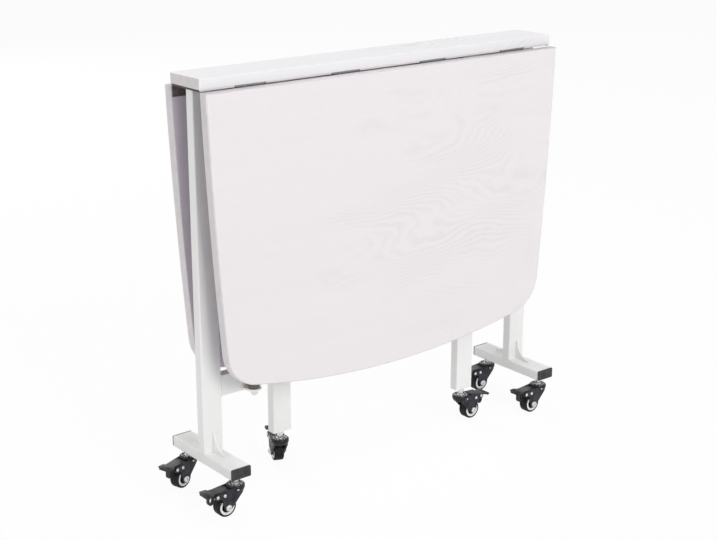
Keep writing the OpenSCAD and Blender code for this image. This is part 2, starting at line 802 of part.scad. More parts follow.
at_caster(front_right_at) brake_pedal(front_right_at[4]);  // front_right_brake_pedal
at_caster(rear_right_at) caster_fork();  // rear_right_caster_fork
at_caster(rear_right_at) caster_hardware();  // rear_right_caster_hardware
at_caster(rear_right_at) wheel_rim();  // rear_right_wheel_rim
at_caster(rear_right_at) tyre();  // rear_right_tyre
at_caster(rear_right_at) brake_pedal(rear_right_at[4]);  // rear_right_brake_pedal
at_caster(front_gate_at) caster_fork();  // front_gate_caster_fork
at_caster(front_gate_at) caster_hardware();  // front_gate_caster_hardware
at_caster(front_gate_at) wheel_rim();  // front_gate_wheel_rim
at_caster(front_gate_at) tyre();  // front_gate_tyre
at_caster(front_gate_at) brake_pedal(front_gate_at[4]);  // front_gate_brake_pedal
at_caster(rear_gate_at) caster_fork();  // rear_gate_caster_fork
at_caster(rear_gate_at) caster_hardware();  // rear_gate_caster_hardware
at_caster(rear_gate_at) wheel_rim();  // rear_gate_wheel_rim
at_caster(rear_gate_at) tyre();  // rear_gate_tyre
at_caster(rear_gate_at) brake_pedal(rear_gate_at[4]);  // rear_gate_brake_pedal
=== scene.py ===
"""Folding dining table on casters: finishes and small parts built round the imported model."""

import json
import logging
import math
from collections.abc import Callable, Iterable, Sequence
from dataclasses import dataclass
from enum import Enum

import bmesh
import bpy
from mathutils import Matrix, Vector

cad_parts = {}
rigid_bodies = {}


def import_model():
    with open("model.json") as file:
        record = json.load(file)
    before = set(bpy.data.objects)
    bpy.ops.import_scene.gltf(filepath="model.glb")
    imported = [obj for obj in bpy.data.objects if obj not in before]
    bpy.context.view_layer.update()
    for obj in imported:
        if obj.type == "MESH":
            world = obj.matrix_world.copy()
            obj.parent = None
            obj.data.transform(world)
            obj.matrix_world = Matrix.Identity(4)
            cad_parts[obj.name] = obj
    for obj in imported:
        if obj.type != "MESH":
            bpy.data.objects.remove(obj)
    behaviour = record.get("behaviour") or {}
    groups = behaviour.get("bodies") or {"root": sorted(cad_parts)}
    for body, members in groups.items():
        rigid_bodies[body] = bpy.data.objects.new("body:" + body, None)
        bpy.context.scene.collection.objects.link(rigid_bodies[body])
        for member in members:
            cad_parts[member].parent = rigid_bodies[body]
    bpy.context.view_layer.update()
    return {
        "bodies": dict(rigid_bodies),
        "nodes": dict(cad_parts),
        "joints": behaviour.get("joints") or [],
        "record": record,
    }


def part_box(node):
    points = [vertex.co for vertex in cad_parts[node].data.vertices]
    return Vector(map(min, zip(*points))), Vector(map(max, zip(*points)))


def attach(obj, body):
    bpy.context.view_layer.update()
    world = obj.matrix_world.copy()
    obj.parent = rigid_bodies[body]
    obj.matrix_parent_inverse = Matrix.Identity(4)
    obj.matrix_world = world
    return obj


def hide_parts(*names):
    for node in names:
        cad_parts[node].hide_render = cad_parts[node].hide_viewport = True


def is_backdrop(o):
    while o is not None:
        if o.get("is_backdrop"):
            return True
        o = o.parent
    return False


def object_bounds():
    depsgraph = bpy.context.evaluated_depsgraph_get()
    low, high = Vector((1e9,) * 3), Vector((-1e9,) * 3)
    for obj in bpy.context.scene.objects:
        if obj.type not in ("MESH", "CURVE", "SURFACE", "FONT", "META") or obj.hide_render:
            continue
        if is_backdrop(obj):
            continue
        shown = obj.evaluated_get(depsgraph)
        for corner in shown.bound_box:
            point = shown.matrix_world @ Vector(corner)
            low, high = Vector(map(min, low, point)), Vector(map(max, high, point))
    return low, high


LOG = logging.getLogger("folding_table")
MIDDLE_X = 0.01975  # X of the middle of the top
SAME_PLACE = 1e-7  # points closer than this are one
SIDES = (-1, 1)
FULL_TURN = 2 * math.pi
QUARTER = math.pi / 2
UNMOVED = Matrix.Identity(4)

Mesh = bpy.types.Mesh
Object = bpy.types.Object
Material = bpy.types.Material
Point2 = tuple[float, float]
Point3 = tuple[float, float, float]
Bar = tuple[float, float, float, float]
Colour = tuple[float, float, float, float]
Loop = list[Point2]

WHITE: Colour = (1.0, 1.0, 1.0, 1.0)


def srgb(red: int, green: int, blue: int) -> Colour:
    """Turns a screen colour into the linear one that a shader uses.

    Args:
        red: Red channel, 0 to 255.
        green: Green channel, 0 to 255.
        blue: Blue channel, 0 to 255.

    Returns:
        The linear colour with full opacity.
    """
    def linear(channel: int) -> float:
        """Undoes the screen curve for one channel."""
        share = channel / 255
        return share / 12.92 if share <= 0.04045 else ((share + 0.055) / 1.055) ** 2.4

    return linear(red), linear(green), linear(blue), 1.0


class Socket:
    """An output of a node that can be used in Python maths."""

    def __init__(self, graph: "Graph", socket: bpy.types.NodeSocket) -> None:
        """Keeps the socket and the graph it belongs to."""
        self.graph = graph
        self.socket = socket

    def maths(self, operation: str, *others: "Socket | float") -> "Socket":
        """Adds a Math node whose first input is this socket, and gives its result."""
        return self.graph.maths(operation, self, *others)

    def __add__(self, other: "Socket | float") -> "Socket":
        """Sum."""
        return self.maths("ADD", other)

    __radd__ = __add__

    def __mul__(self, other: "Socket | float") -> "Socket":
        """Product."""
        return self.maths("MULTIPLY", other)

    __rmul__ = __mul__

    def __sub__(self, other: "Socket | float") -> "Socket":
        """Difference."""
        return self.maths("SUBTRACT", other)

    def __rsub__(self, other: float) -> "Socket":
        """Difference with the number on the left."""
        return self.graph.maths("SUBTRACT", other, self)

    def __truediv__(self, other: "Socket | float") -> "Socket":
        """Quotient."""
        return self.maths("DIVIDE", other)

    def __rtruediv__(self, other: float) -> "Socket":
        """Quotient with the number on the left."""
        return self.graph.maths("DIVIDE", other, self)

    def __pow__(self, other: float) -> "Socket":
        """Power."""
        return self.maths("POWER", other)

    def sine(self) -> "Socket":
        """Sine."""
        return self.maths("SINE")

    def ramp(self, low: float, high: float) -> "Socket":
        """Rises smoothly from 0 at low to 1 at high.

        Args:
            low: Value that gives 0.
            high: Value that gives 1.

        Returns:
            The eased share.
        """
        return self.graph.node(
            "ShaderNodeMapRange",
            {"interpolation_type": "SMOOTHSTEP"},
            {"Value": self, "From Min": low, "From Max": high},
        )


class Graph:
    """A node tree that is built with expressions."""

    def __init__(self, tree: bpy.types.NodeTree) -> None:
        """Keeps the tree."""
        self.tree = tree

    def node(
        self,
        kind: str,
        settings: dict[str, object] | None = None,
        inputs: dict[str | int, object] | None = None,
        output: str | int = 0,
    ) -> Socket:
        """Adds one node.

        Args:
            kind: The node's type.
            settings: Its own settings, set first.
            inputs: Values or links of its sockets, by name or place.
            output: The output that is returned.

        Returns:
            The chosen output.
        """
        made = self.tree.nodes.new(kind)
        for key, value in (settings or {}).items():
            setattr(made, key, value)
        for key, value in (inputs or {}).items():
            if isinstance(value, Socket):
                self.tree.links.new(value.socket, made.inputs[key])
            else:
                made.inputs[key].default_value = value
        return Socket(self, made.outputs[output]) if len(made.outputs) else Socket(self, None)

    def maths(self, operation: str, *values: Socket | float) -> Socket:
        """Adds a Math node with its inputs in order, and gives its result."""
        return self.node("ShaderNodeMath", {"operation": operation}, dict(enumerate(values)))

    def mix(self, share: Socket | float, low: object, high: object) -> Socket:
        """Mixes a share of a high colour into a low one."""
        return self.node("ShaderNodeMix", {"data_type": "RGBA"}, {0: share, 6: low, 7: high}, 2)


class Surface(Graph):
    """The shader of one finish, on object coordinates."""

    def __init__(self, name: str) -> None:
        """Starts an empty material.

        Args:
            name: The material's name.
        """
        self.material = bpy.data.materials.new(name)
        self.material.use_nodes = True
        super().__init__(self.material.node_tree)
        self.tree.nodes.clear()
        self.place = self.node("ShaderNodeTexCoord", output="Object")

    def stretched(self, x: float, y: float, z: float) -> Socket:
        """Object coordinates scaled on each axis."""
        return self.node("ShaderNodeMapping", None, {"Vector": self.place, "Scale": (x, y, z)})

    def noise(self, scale: float, detail: float = 2.0, at: Socket | None = None) -> Socket:
        """A noise value.

        Args:
            scale: Cells per metre.
            detail: Octaves.
            at: Coordinates, the object's own where none are given.

        Returns:
            The noise, from 0 to 1.
        """
        return self.node(
            "ShaderNodeTexNoise", None,
            {"Vector": at or self.place, "Scale": scale, "Detail": detail, "Roughness": 0.55},
        )

    def bump(self, height: Socket, strength: float, distance: float) -> Socket:
        """A normal that follows a height.

        Args:
            height: The height map.
            strength: Its strength.
            distance: Its depth in metres.

        Returns:
            The normal.
        """
        return self.node(
            "ShaderNodeBump", None, {"Height": height, "Strength": strength, "Distance": distance}
        )

    def close(self, fixed: dict[str, object], varying: dict[str, Socket]) -> Material:
        """Adds the surface shader and the output.

        Args:
            fixed: Values set on the shader's own sockets.
            varying: Links to the sockets that change over the surface.

        Returns:
            The finished material.
        """
        shader = self.node("ShaderNodeBsdfPrincipled", None, {**fixed, **varying})
        self.node("ShaderNodeOutputMaterial", None, {"Surface": shader})
        return self.material


@dataclass(frozen=True)
class Finish:
    """One finish of the table.

    Attributes:
        name: The material's name.
        slot: The record's material slot.
        light: The paler of its two tones.
        dark: The darker of its two tones.
        roughness: Mean roughness.
    """

    name: str
    slot: str
    light: Colour
    dark: Colour
    roughness: float

    def build(self) -> Material:
        """Builds the material; each kind of finish has its own."""
        raise NotImplementedError


@dataclass(frozen=True)
class BoardFoil(Finish):
    """White foil with a faint wood figure along the table; on the leaves' inner faces a darker
    violet-grey foil whose tone is partly painted shade of the slot between the leaves.

    Attributes:
        back: Tone of the foil on the inner faces of the leaves, darkened and tinted in part as
            painted shade of the slot between them.
        back_y: Distance of those faces from the middle plane.
        strip_low: Height of the underside of the fixed strip, which has no such foil.
        strip_light: Ground tone of the fixed strip.
        strip_dark: Tone of the figure on the fixed strip.
        lines: Growth lines over a metre of height, where the figure is calm.
        swirl: How many lines the slow distortion moves the figure by.
        centre: X and Z about which the figure is boldest.
    """

    back: Colour = (0.714, 0.637, 0.73, 1.0)
    back_y: float = 0.044
    strip_low: float = 0.741
    strip_light: Colour = (0.893, 0.886, 0.903, 1.0)
    strip_dark: Colour = (0.775, 0.768, 0.797, 1.0)
    lines: float = 92.0
    swirl: float = 46.0
    centre: Point2 = (0.17, 0.5)

    def build(self) -> Material:
        """Builds the foil.

        Returns:
            The material.
        """
        s = Surface(self.name)
        along, depth, height = (
            s.node("ShaderNodeSeparateXYZ", None, {"Vector": s.place}, axis) for axis in "XYZ"
        )
        slow = s.noise(1.0, 1.0, s.stretched(1.7, 6.0, 6.0))
        ripple = s.noise(1.0, 2.0, s.stretched(16.0, 34.0, 34.0))
        fine = s.noise(1.0, 2.0, s.stretched(45.0, 130.0, 130.0))
        phase = (height + depth) * self.lines + slow * self.swirl + ripple * 1.9 + fine * 0.7
        lines = ((phase * FULL_TURN).sine() * 0.5 + 0.5) ** 1.6
        patches = s.noise(1.0, 3.0, s.stretched(5.0, 14.0, 14.0))
        off_x, off_z = along - self.centre[0], height - self.centre[1]
        near = 0.16 - off_x * off_x * 2.2 - off_z * off_z * 2.6
        on_strip = height.ramp(self.strip_low - 0.002, self.strip_low - 0.001)
        bold = (patches + near + on_strip * 0.08).ramp(0.42, 0.74)
        fibres = s.noise(1.0, 3.0, s.stretched(9.0, 520.0, 520.0))
        streaks = s.noise(1.0, 2.0, s.stretched(1.8, 40.0, 40.0))
        figure = lines * (bold * 0.44 + 0.04)
        mask = (figure + fibres * 0.3 + streaks * 0.3).ramp(0.1, 1.05)
        # Mask of the leaves' inner faces, which take the darker back tone: partly painted shade.
        inside = 1.0 - depth.maths("ABSOLUTE").ramp(self.back_y + 0.0002, self.back_y + 0.0006)
        ground = s.mix(on_strip, self.light, self.strip_light)
        grain = s.mix(on_strip, self.dark, self.strip_dark)
        # The back tone with faint streaks: a real foil tone partly darkened as painted shade.
        back_with_shade = s.mix(streaks.ramp(0.3, 0.7) * 0.25, self.back, self.dark)
        skin = fibres * 0.5 + figure * 0.8
        return s.close(
            {"Specular IOR Level": 0.22},
            {
                "Base Color": s.mix(inside * (1.0 - on_strip), s.mix(mask, ground, grain), back_with_shade),
                "Roughness": mask * 0.08 + (self.roughness - 0.04),
                "Normal": s.bump(skin, 0.05, 0.0002),
            },
        )


@dataclass(frozen=True)
class PowderCoat(Finish):
    """Baked paint on steel tube: a slight orange-peel skin."""

    def build(self) -> Material:
        """Builds the paint.

        Returns:
            The material.
        """
        s = Surface(self.name)
        clouds = s.noise(9.0, 3.0)
        peel = s.noise(650.0, 1.0)
        scuffs = s.noise(1.0, 4.0, s.stretched(60.0, 60.0, 14.0)).ramp(0.62, 0.78)
        tone = (clouds * 0.6 + scuffs * 0.35).ramp(0.2, 0.8)
        return s.close(
            {"Coat Roughness": 0.25, "Specular IOR Level": 0.3},
            {
                "Base Color": s.mix(tone, self.light, self.dark),
                "Roughness": clouds * 0.1 + scuffs * 0.08 + (self.roughness - 0.06),
                "Coat Weight": 0.08 - scuffs * 0.05,
                "Normal": s.bump(peel, 0.07, 0.0004),
            },
        )


@dataclass(frozen=True)
class MouldedPlastic(Finish):
    """Moulded plastic with a spark-eroded skin.

    Attributes:
        skin: Depth of the skin's texture.
        gloss: Strength of its reflections.
    """

    skin: float = 0.12
    gloss: float = 0.3

    def build(self) -> Material:
        """Builds the plastic.

        Returns:
            The material.
        """
        s = Surface(self.name)
        clouds = s.noise(70.0, 3.0)
        skin = s.noise(1500.0, 2.0)
        dust = s.noise(260.0, 4.0).ramp(0.5, 0.75)
        tone = (clouds * 0.7 + skin * 0.3).ramp(0.3, 0.7)
        tone = (tone - dust * 0.3).maths("MAXIMUM", 0.0)
        return s.close(
            {"Specular IOR Level": self.gloss},
            {
                "Base Color": s.mix(tone, self.light, self.dark),
                "Roughness": dust * 0.15 + clouds * 0.12 + (self.roughness - 0.08),
                "Normal": s.bump(skin, self.skin, 0.0003),
            },
        )


@dataclass(frozen=True)
class TyreRubber(Finish):
    """Black rubber with a dull, dusty skin."""

    def build(self) -> Material:
        """Builds the rubber.

        Returns:
            The material.
        """
        s = Surface(self.name)
        grain = s.noise(1100.0, 3.0)
        dust = s.noise(180.0, 5.0).ramp(0.48, 0.72)
        return s.close(
            {"Specular IOR Level": 0.22},
            {
                "Base Color": s.mix(dust * 0.6 + grain * 0.2, self.dark, self.light),
                "Roughness": dust * 0.12 + (self.roughness - 0.04),
                "Normal": s.bump(grain, 0.3, 0.0004),
            },
        )


@dataclass(frozen=True)
class PlatedSteel(Finish):
    """Bright plating with fine brush marks and a few dull spots.

    Attributes:
        spots: Share of the surface that dull spots take.
        metal: How metallic it is, less than 1 for a dull passivated coat.
    """

    spots: float = 0.2
    metal: float = 1.0

    def build(self) -> Material:
        """Builds the plating.

        Returns:
            The material.
        """
        s = Surface(self.name)
        brushed = s.noise(1.0, 2.0, s.stretched(250.0, 250.0, 1800.0))
        dull = s.noise(330.0, 3.0).ramp(0.66 - self.spots * 0.4, 0.8)
        return s.close(
            {"Metallic": self.metal},
            {
                "Base Color": s.mix(dull * 0.8 + brushed * 0.15, self.light, self.dark),
                "Roughness": dull * 0.25 + brushed * 0.1 + (self.roughness - 0.05),
                "Normal": s.bump(brushed, 0.05, 0.0002),
            },
        )


class Look(Enum):
    """The finishes by the record's material slot."""

    BOARD = BoardFoil("board_foil", "white_board", srgb(238, 234, 236), srgb(229, 224, 227), 0.42)
    BAND = MouldedPlastic("edge_band", "white_board", srgb(227, 222, 224), srgb(219, 214, 216),
                          0.4, 0.03, 0.25)
    # Dark rubber of the pads and bars under the strip's ends: partly real parts, partly painted
    # shade under the strip.
    DARK_PART_AND_SHADE = TyreRubber("buffer_rubber", "white_board", srgb(128, 114, 114), srgb(88, 78, 78), 0.7)
    PAINT = PowderCoat("frame_powder_coat", "white_frame", srgb(243, 243, 242),
                       srgb(235, 235, 235), 0.38)
    CAP = MouldedPlastic("end_cap_plastic", "cap_plastic", srgb(74, 74, 76), srgb(48, 48, 51), 0.5)
    BUSH = MouldedPlastic("bush_plastic", "bush_plastic", srgb(112, 106, 104), srgb(78, 74, 73),
                          0.45)
    FORK = MouldedPlastic("fork_plastic", "caster_plastic", srgb(60, 56, 65), srgb(26, 24, 30),
                          0.46, 0.2, 0.2)
    HEAD = MouldedPlastic("swivel_head_plastic", "caster_plastic", srgb(34, 33, 35),
                          srgb(10, 10, 11), 0.3, 0.08, 0.35)
    CORE = MouldedPlastic("wheel_core_plastic", "caster_plastic", srgb(46, 45, 48),
                          srgb(20, 20, 22), 0.42)
    PEDAL = MouldedPlastic("pedal_plastic", "pedal_plastic", srgb(50, 49, 52), srgb(20, 20, 22),
                           0.4, 0.14, 0.34)
    TYRE = TyreRubber("tyre_rubber", "tyre", srgb(46, 46, 46), srgb(10, 10, 11), 0.6)
    RIM = MouldedPlastic("rim_plastic", "wheel_rim", srgb(246, 246, 245), srgb(234, 234, 232),
                         0.22, 0.02, 0.5)
    RIVET = PlatedSteel("rivet_plating", "caster_chrome", srgb(212, 211, 217),
                        srgb(160, 159, 166), 0.55, 0.15)
    BOLT = PlatedSteel("axle_bolt_plating", "caster_chrome", srgb(216, 216, 217),
                       srgb(150, 150, 152), 0.45, 0.35)
    # Dish plating: its dark tone and large dark spots are partly painted reflection on the swivel
    # head.
    CHROME = PlatedSteel("caster_chrome", "caster_chrome", srgb(104, 104, 107),
                         srgb(16, 16, 18), 0.3, 0.6)
    # Hinge plating, darker than the other zinc: partly painted shade of the gap under the strip.
    HINGE = PlatedSteel("hinge_plating_and_shade", "zinc_steel", srgb(134, 134, 137),
                        srgb(84, 84, 87), 0.45, 0.3, 0.7)
    # Top plates: darker than the other zinc, partly painted shade where the strip's ends overhang
    # the posts.
    PLATE = PlatedSteel("plate_plating_and_shade", "zinc_steel", srgb(82, 75, 75),
                        srgb(50, 45, 45), 0.5, 0.3, 0.5)
    ZINC = PlatedSteel("zinc_plating", "zinc_steel", srgb(226, 226, 227), srgb(168, 168, 170),
                       0.3, 0.25)
    BRACKET = PlatedSteel("bracket_zinc", "bracket_zinc", srgb(246, 242, 231),
                          srgb(220, 214, 199), 0.45, 0.3, 0.05)


class Palette:
    """Builds each finish once and puts it on pieces."""

    def __init__(self) -> None:
        """Starts with no material built."""
        self._made: dict[Look, Material] = {}

    def material(self, look: Look) -> Material:
        """The material of a look, built at its first use.

        Args:
            look: The finish.

        Returns:
            Its material.
        """
        if look not in self._made:
            self._made[look] = look.value.build()
        return self._made[look]

    def dress(self, mesh: Mesh, look: Look, edge: Look | None = None) -> None:
        """Gives a new mesh its finish.

        Args:
            mesh: The mesh.
            look: Its finish.
            edge: Finish of the faces that its maker put in the second slot, if it has any.
        """
        if not edge:
            mesh.materials.clear()
            mesh.polygons.foreach_set("material_index", [0] * len(mesh.polygons))
        for finish in filter(None, (look, edge)):
            mesh.materials.append(self.material(finish))

    def dress_node(self, piece: Object, look: Look) -> None:
        """Gives a CAD node one finish through its material slots.

        Args:
            piece: The CAD node's object.
            look: Its finish.
        """
        if not piece.material_slots:
            piece.data.materials.append(None)
        for slot in piece.material_slots:
            slot.material = self.material(look)


class Workshop:
    """What every sub-assembly needs: the CAD nodes, the patterns and a way to hand a piece in."""

    def __init__(self, nodes: dict[str, Object], palette: Palette) -> None:
        """Keeps the nodes and the finishes, and builds the patterns.

        Args:
            nodes: The CAD nodes' objects by name.
            palette: The finishes.
        """
        self.nodes = nodes
        self.palette = palette
        self.row = Row(palette)
        self.ring = Ring(palette)
        self.seam = Seam(palette)
        self.scatter = Scatter(palette)

    def add(
        self,
        mesh: Mesh,
        name: str,
        body: str,
        look: Look,
        stands_for: Sequence[str] = (),
        edge: Look | None = None,
    ) -> None:
        """Hands in a finished mesh as a piece of the table.

        Args:
            mesh: The mesh, in the table's frame.
            name: The piece's name.
            body: The CAD body it rides on.
            look: Its finish.
            stands_for: CAD nodes it replaces.
            edge: Finish of the faces in the mesh's second slot, if it has any.
        """
        mesh.name = name
        self.palette.dress(mesh, look, edge)
        piece = in_scene(name, mesh)
        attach(piece, body)
        if stands_for:
            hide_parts(*stands_for)
        LOG.info("%s on %s: %d faces, %s", name, body, len(mesh.polygons), look.value.name)


def in_scene(name: str, data: bpy.types.ID) -> Object:
    """Makes an object and puts it in the scene.

    Args:
        name: Its name.
        data: Its mesh, light or camera.

    Returns:
        The object.
    """
    piece = bpy.data.objects.new(name, data)
    bpy.context.scene.collection.objects.link(piece)
    return piece


def drop(piece: Object) -> None:
    """Removes a helper object and its mesh.

    Args:
        piece: The object.
    """
    mesh = piece.data
    bpy.data.objects.remove(piece)
    bpy.data.meshes.remove(mesh)


def bake(source: Object) -> Mesh:
    """Turns an object with modifiers into a plain mesh and drops the object.

    Args:
        source: The object.

    Returns:
        The evaluated mesh.
    """
    graph = bpy.context.evaluated_depsgraph_get()
    graph.update()
    mesh = bpy.data.meshes.new_from_object(source.evaluated_get(graph))
    source.modifiers.clear()
    drop(source)
    return mesh


def finished(work: bmesh.types.BMesh, sharp: float = 40.0) -> Mesh:
    """Turns built faces into a smooth mesh that keeps its sharp edges.

    Args:
        work: The built faces; it is freed.
        sharp: Smallest angle, in degrees, that counts as an edge.

    Returns:
        The mesh with outward faces.
    """
    bmesh.ops.recalc_face_normals(work, faces=work.faces)
    for face in work.faces:
        face.smooth = True
    for edge in work.edges:
        edge.smooth = edge.calc_face_angle(0.0) < math.radians(sharp)
    return written(work, bpy.data.meshes.new("built"))


def written(work: bmesh.types.BMesh, mesh: Mesh) -> Mesh:
    """Writes built faces to a mesh, frees them and returns the mesh.

    Args:
        work: The built faces.
        mesh: The mesh that takes them.

    Returns:
        The same mesh.
    """
    work.to_mesh(mesh)
    work.free()
    return mesh


def placed(mesh: Mesh, place: Matrix) -> Mesh:
    """Moves a mesh to its place and returns it."""
    mesh.transform(place)
    return mesh


def joined(meshes: Iterable[Mesh]) -> Mesh:
    """Puts several meshes into one.

    Args:
        meshes: The meshes; they are removed.

    Returns:
        The joined mesh, with the sharp edges kept.
    """
    work = bmesh.new()
    for mesh in meshes:
        work.from_mesh(mesh)
        bpy.data.meshes.remove(mesh)
    return written(work, bpy.data.meshes.new("joined"))


def moved(x: float, y: float, z: float) -> Matrix:
    """A move along the three axes."""
    return Matrix.Translation((x, y, z))


def turned(angle: float, axis: str) -> Matrix:
    """A turn about an axis, by an angle in radians."""
    return Matrix.Rotation(angle, 4, axis)


def mirrored(half: Loop) -> Loop:
    """A whole profile from the half above its middle plane."""
    return [(radius, -height) for radius, height in reversed(half)] + half


@dataclass(frozen=True)
class Turned:
    """A turned piece: a closed profile swept round Z.

    Attributes:
        profile: Radius and height of each corner; it may start and end on the axis.
        steps: Faces round the axis.
    """

    profile: Sequence[Point2]
    steps: int = 48

    def mesh(self, place: Matrix = UNMOVED, sharp: float = 40.0) -> Mesh:
        """Sweeps the profile.

        Args:
            place: Puts the piece, drawn about Z, into the table's frame.
            sharp: Smallest angle, in degrees, that counts as an edge.

        Returns:
            The closed mesh.
        """
        work = bmesh.new()
        turns = [FULL_TURN * k / self.steps for k in range(self.steps)]
        rings = [
            [work.verts.new((0.0, 0.0, height))]
            if radius < SAME_PLACE
            else [
                work.verts.new((radius * math.cos(turn), radius * math.sin(turn), height))
                for turn in turns
            ]
            for radius, height in self.profile
        ]
        solid = len(rings[0]) == 1 and len(rings[-1]) == 1
        pairs = list(zip(rings, rings[1:])) + ([] if solid else [(rings[-1], rings[0])])
        for low, high in pairs:
            for k in range(self.steps):
                j = (k + 1) % self.steps
                corners = [low[k % len(low)], low[j % len(low)], high[j % len(high)],
                           high[k % len(high)]]
                work.faces.new(list(dict.fromkeys(corners)))
        return placed(finished(work, sharp), place)


def tube_faces(work: bmesh.types.BMesh, rings: Sequence[Sequence[bmesh.types.BMVert]]) -> None:
    """Joins rings of like length by four-sided faces and closes both ends.

    Args:
        work: The mesh that is built.
        rings: The rings from the lowest to the highest.
    """
    count = len(rings[0])
    for low, high in zip(rings, rings[1:]):
        for i in range(count):
            j = (i + 1) % count
            work.faces.new((low[i], low[j], high[j], high[i]))
    work.faces.new(list(reversed(rings[0])))
    work.faces.new(rings[-1])


def rounded_bar(length: float, width: float, height: float, edge: float) -> Mesh:
    """A bar along X with a rounded back, standing on Z = 0.

    Args:
        length: Its length.
        width: Its width along Y.
        height: Its height.
        edge: How far its ends and sides slope in.

    Returns:
        The bar's mesh.
    """
    work = bmesh.new()
    rings = []
    for rise, slope in ((0.0, 0.0), (0.55, 0.25), (0.9, 0.6), (1.0, 1.0)):
        x, y = length / 2 - slope * edge, width / 2 - slope * edge
        corners = ((-x, -y), (x, -y), (x, y), (-x, y))
        rings.append([work.verts.new((cx, cy, rise * height)) for cx, cy in corners])
    tube_faces(work, rings)
    return finished(work, 60.0)


class Pattern:
    """A Geometry Nodes tree that repeats a stamp, with named inputs for its sizes."""

    sizes: tuple[tuple[str, str], ...] = ()

    def __init__(self, palette: Palette) -> None:
        """Builds the tree: the pattern's own points, the stamp on each, then the finish.

        Args:
            palette: The finishes.
        """
        self.palette = palette
        self.tree = bpy.data.node_groups.new(type(self).__name__, "GeometryNodeTree")
        shared = (("Path", "NodeSocketGeometry"), ("Stamp", "NodeSocketObject"),
                  ("Finish", "NodeSocketMaterial"))
        self.inputs = {
            label: self.tree.interface.new_socket(label, in_out="INPUT", socket_type=kind)
            for label, kind in (*shared, *self.sizes)
        }
        self.tree.interface.new_socket(
            "Geometry", in_out="OUTPUT", socket_type="NodeSocketGeometry"
        )
        g = self.graph = Graph(self.tree)
        self.start = self.tree.nodes.new("NodeGroupInput")
        stamp = g.node(
            "GeometryNodeObjectInfo", {"transform_space": "ORIGINAL"},
            {"Object": self.given("Stamp")}, "Geometry",
        )
        stamps = g.node("GeometryNodeInstanceOnPoints", None, {"Instance": stamp, **self.points()})
        real = g.node("GeometryNodeRealizeInstances", None, {"Geometry": stamps})
        dressed = g.node(
            "GeometryNodeSetMaterial", None, {"Geometry": real, "Material": self.given("Finish")}
        )
        g.node("NodeGroupOutput", None, {"Geometry": dressed})

    def given(self, label: str) -> Socket:
        """One of the tree's inputs."""
        return Socket(self.graph, self.start.outputs[label])

    def points(self) -> dict[str, Socket]:
        """The points, and where they vary the turn and the size of the stamp on each."""
        raise NotImplementedError

    def mesh(
        self, stamp: Mesh, look: Look, sizes: dict[str, object], path: Mesh | None = None
    ) -> Mesh:
        """Runs the tree once and bakes it.

        Args:
            stamp: The repeated shape; it is removed.
            look: The finish.
            sizes: Values of the tree's inputs, by name.
            path: The mesh that the pattern follows, if it follows one; it is removed.

        Returns:
            The plain mesh.
        """
        stamp_holder = in_scene("stamp", stamp)
        holder = in_scene("pattern", path or bpy.data.meshes.new("pattern"))
        modifier = holder.modifiers.new("pattern", "NODES")
        modifier.node_group = self.tree
        shared = {"Stamp": stamp_holder, "Finish": self.palette.material(look)}
        for label, value in {**shared, **sizes}.items():
            modifier[self.inputs[label].identifier] = value
        made = bake(holder)
        drop(stamp_holder)
        return made


class Row(Pattern):
    """Stamps in a straight row about the origin."""

    sizes = (("Count", "NodeSocketInt"), ("Step", "NodeSocketVector"))

    def points(self) -> dict[str, Socket]:
        """Points on a line, evenly spaced, its middle at the origin.

        Returns:
            The points.
        """
        g = self.graph
        line = g.node(
            "GeometryNodeMeshLine", {"mode": "OFFSET"},
            {"Count": self.given("Count"), "Offset": self.given("Step")},
        )
        half = g.node(
            "ShaderNodeVectorMath", {"operation": "SCALE"},
            {0: self.given("Step"), "Scale": (1.0 - self.given("Count")) * 0.5},
        )
        centred = g.node("GeometryNodeSetPosition", None, {"Geometry": line, "Offset": half})
        return {"Points": centred}


class Ring(Pattern):
    """Stamps round Z, each turned to face outwards."""

    sizes = (("Count", "NodeSocketInt"), ("Radius", "NodeSocketFloat"))

    def points(self) -> dict[str, Socket]:
        """Points on a circle.

        Returns:
            The points and the outward turn of each.
        """
        g = self.graph
        circle = g.node(
            "GeometryNodeMeshCircle", None,
            {"Vertices": self.given("Count"), "Radius": self.given("Radius")},
        )
        spin = g.node("GeometryNodeInputIndex") * FULL_TURN / self.given("Count")
        facing = g.node("ShaderNodeCombineXYZ", None, {"Z": spin})
        turn = g.node("FunctionNodeEulerToRotation", None, {0: facing})
        return {"Points": circle, "Rotation": turn}


class Seam(Pattern):
    """Stamps along the edges of a path, their sizes varied a little, as a hand-laid weld."""

    sizes = (("Pitch", "NodeSocketFloat"), ("Seed", "NodeSocketInt"))
    smallest = 0.86
    largest = 1.12

    def points(self) -> dict[str, Socket]:
        """Evenly spaced points along the path, each with its own size and the path's direction.

        Returns:
            The points with the turn and the size of each.
        """
        g = self.graph
        curve = g.node("GeometryNodeMeshToCurve", None, {"Mesh": self.given("Path")})
        even = g.node(
            "GeometryNodeResampleCurve", {"mode": "LENGTH"},
            {"Curve": curve, "Length": self.given("Pitch")},
        )
        along = g.node("GeometryNodeInputTangent")
        turn = g.node("FunctionNodeAlignRotationToVector", {"axis": "X"}, {"Vector": along})
        size = g.node(
            "FunctionNodeRandomValue", {"data_type": "FLOAT"},
            {2: self.smallest, 3: self.largest, "Seed": self.given("Seed")}, 1,
        )
        return {"Points": even, "Rotation": turn, "Scale": size}


class Scatter(Pattern):
    """Stamps on given points, all turned the same way."""

    sizes = (("Turn", "NodeSocketVector"),)

    def points(self) -> dict[str, Socket]:
        """The path's own points."""
        turn = self.graph.node("FunctionNodeEulerToRotation", None, {0: self.given("Turn")})
        return {"Points": self.given("Path"), "Rotation": turn}


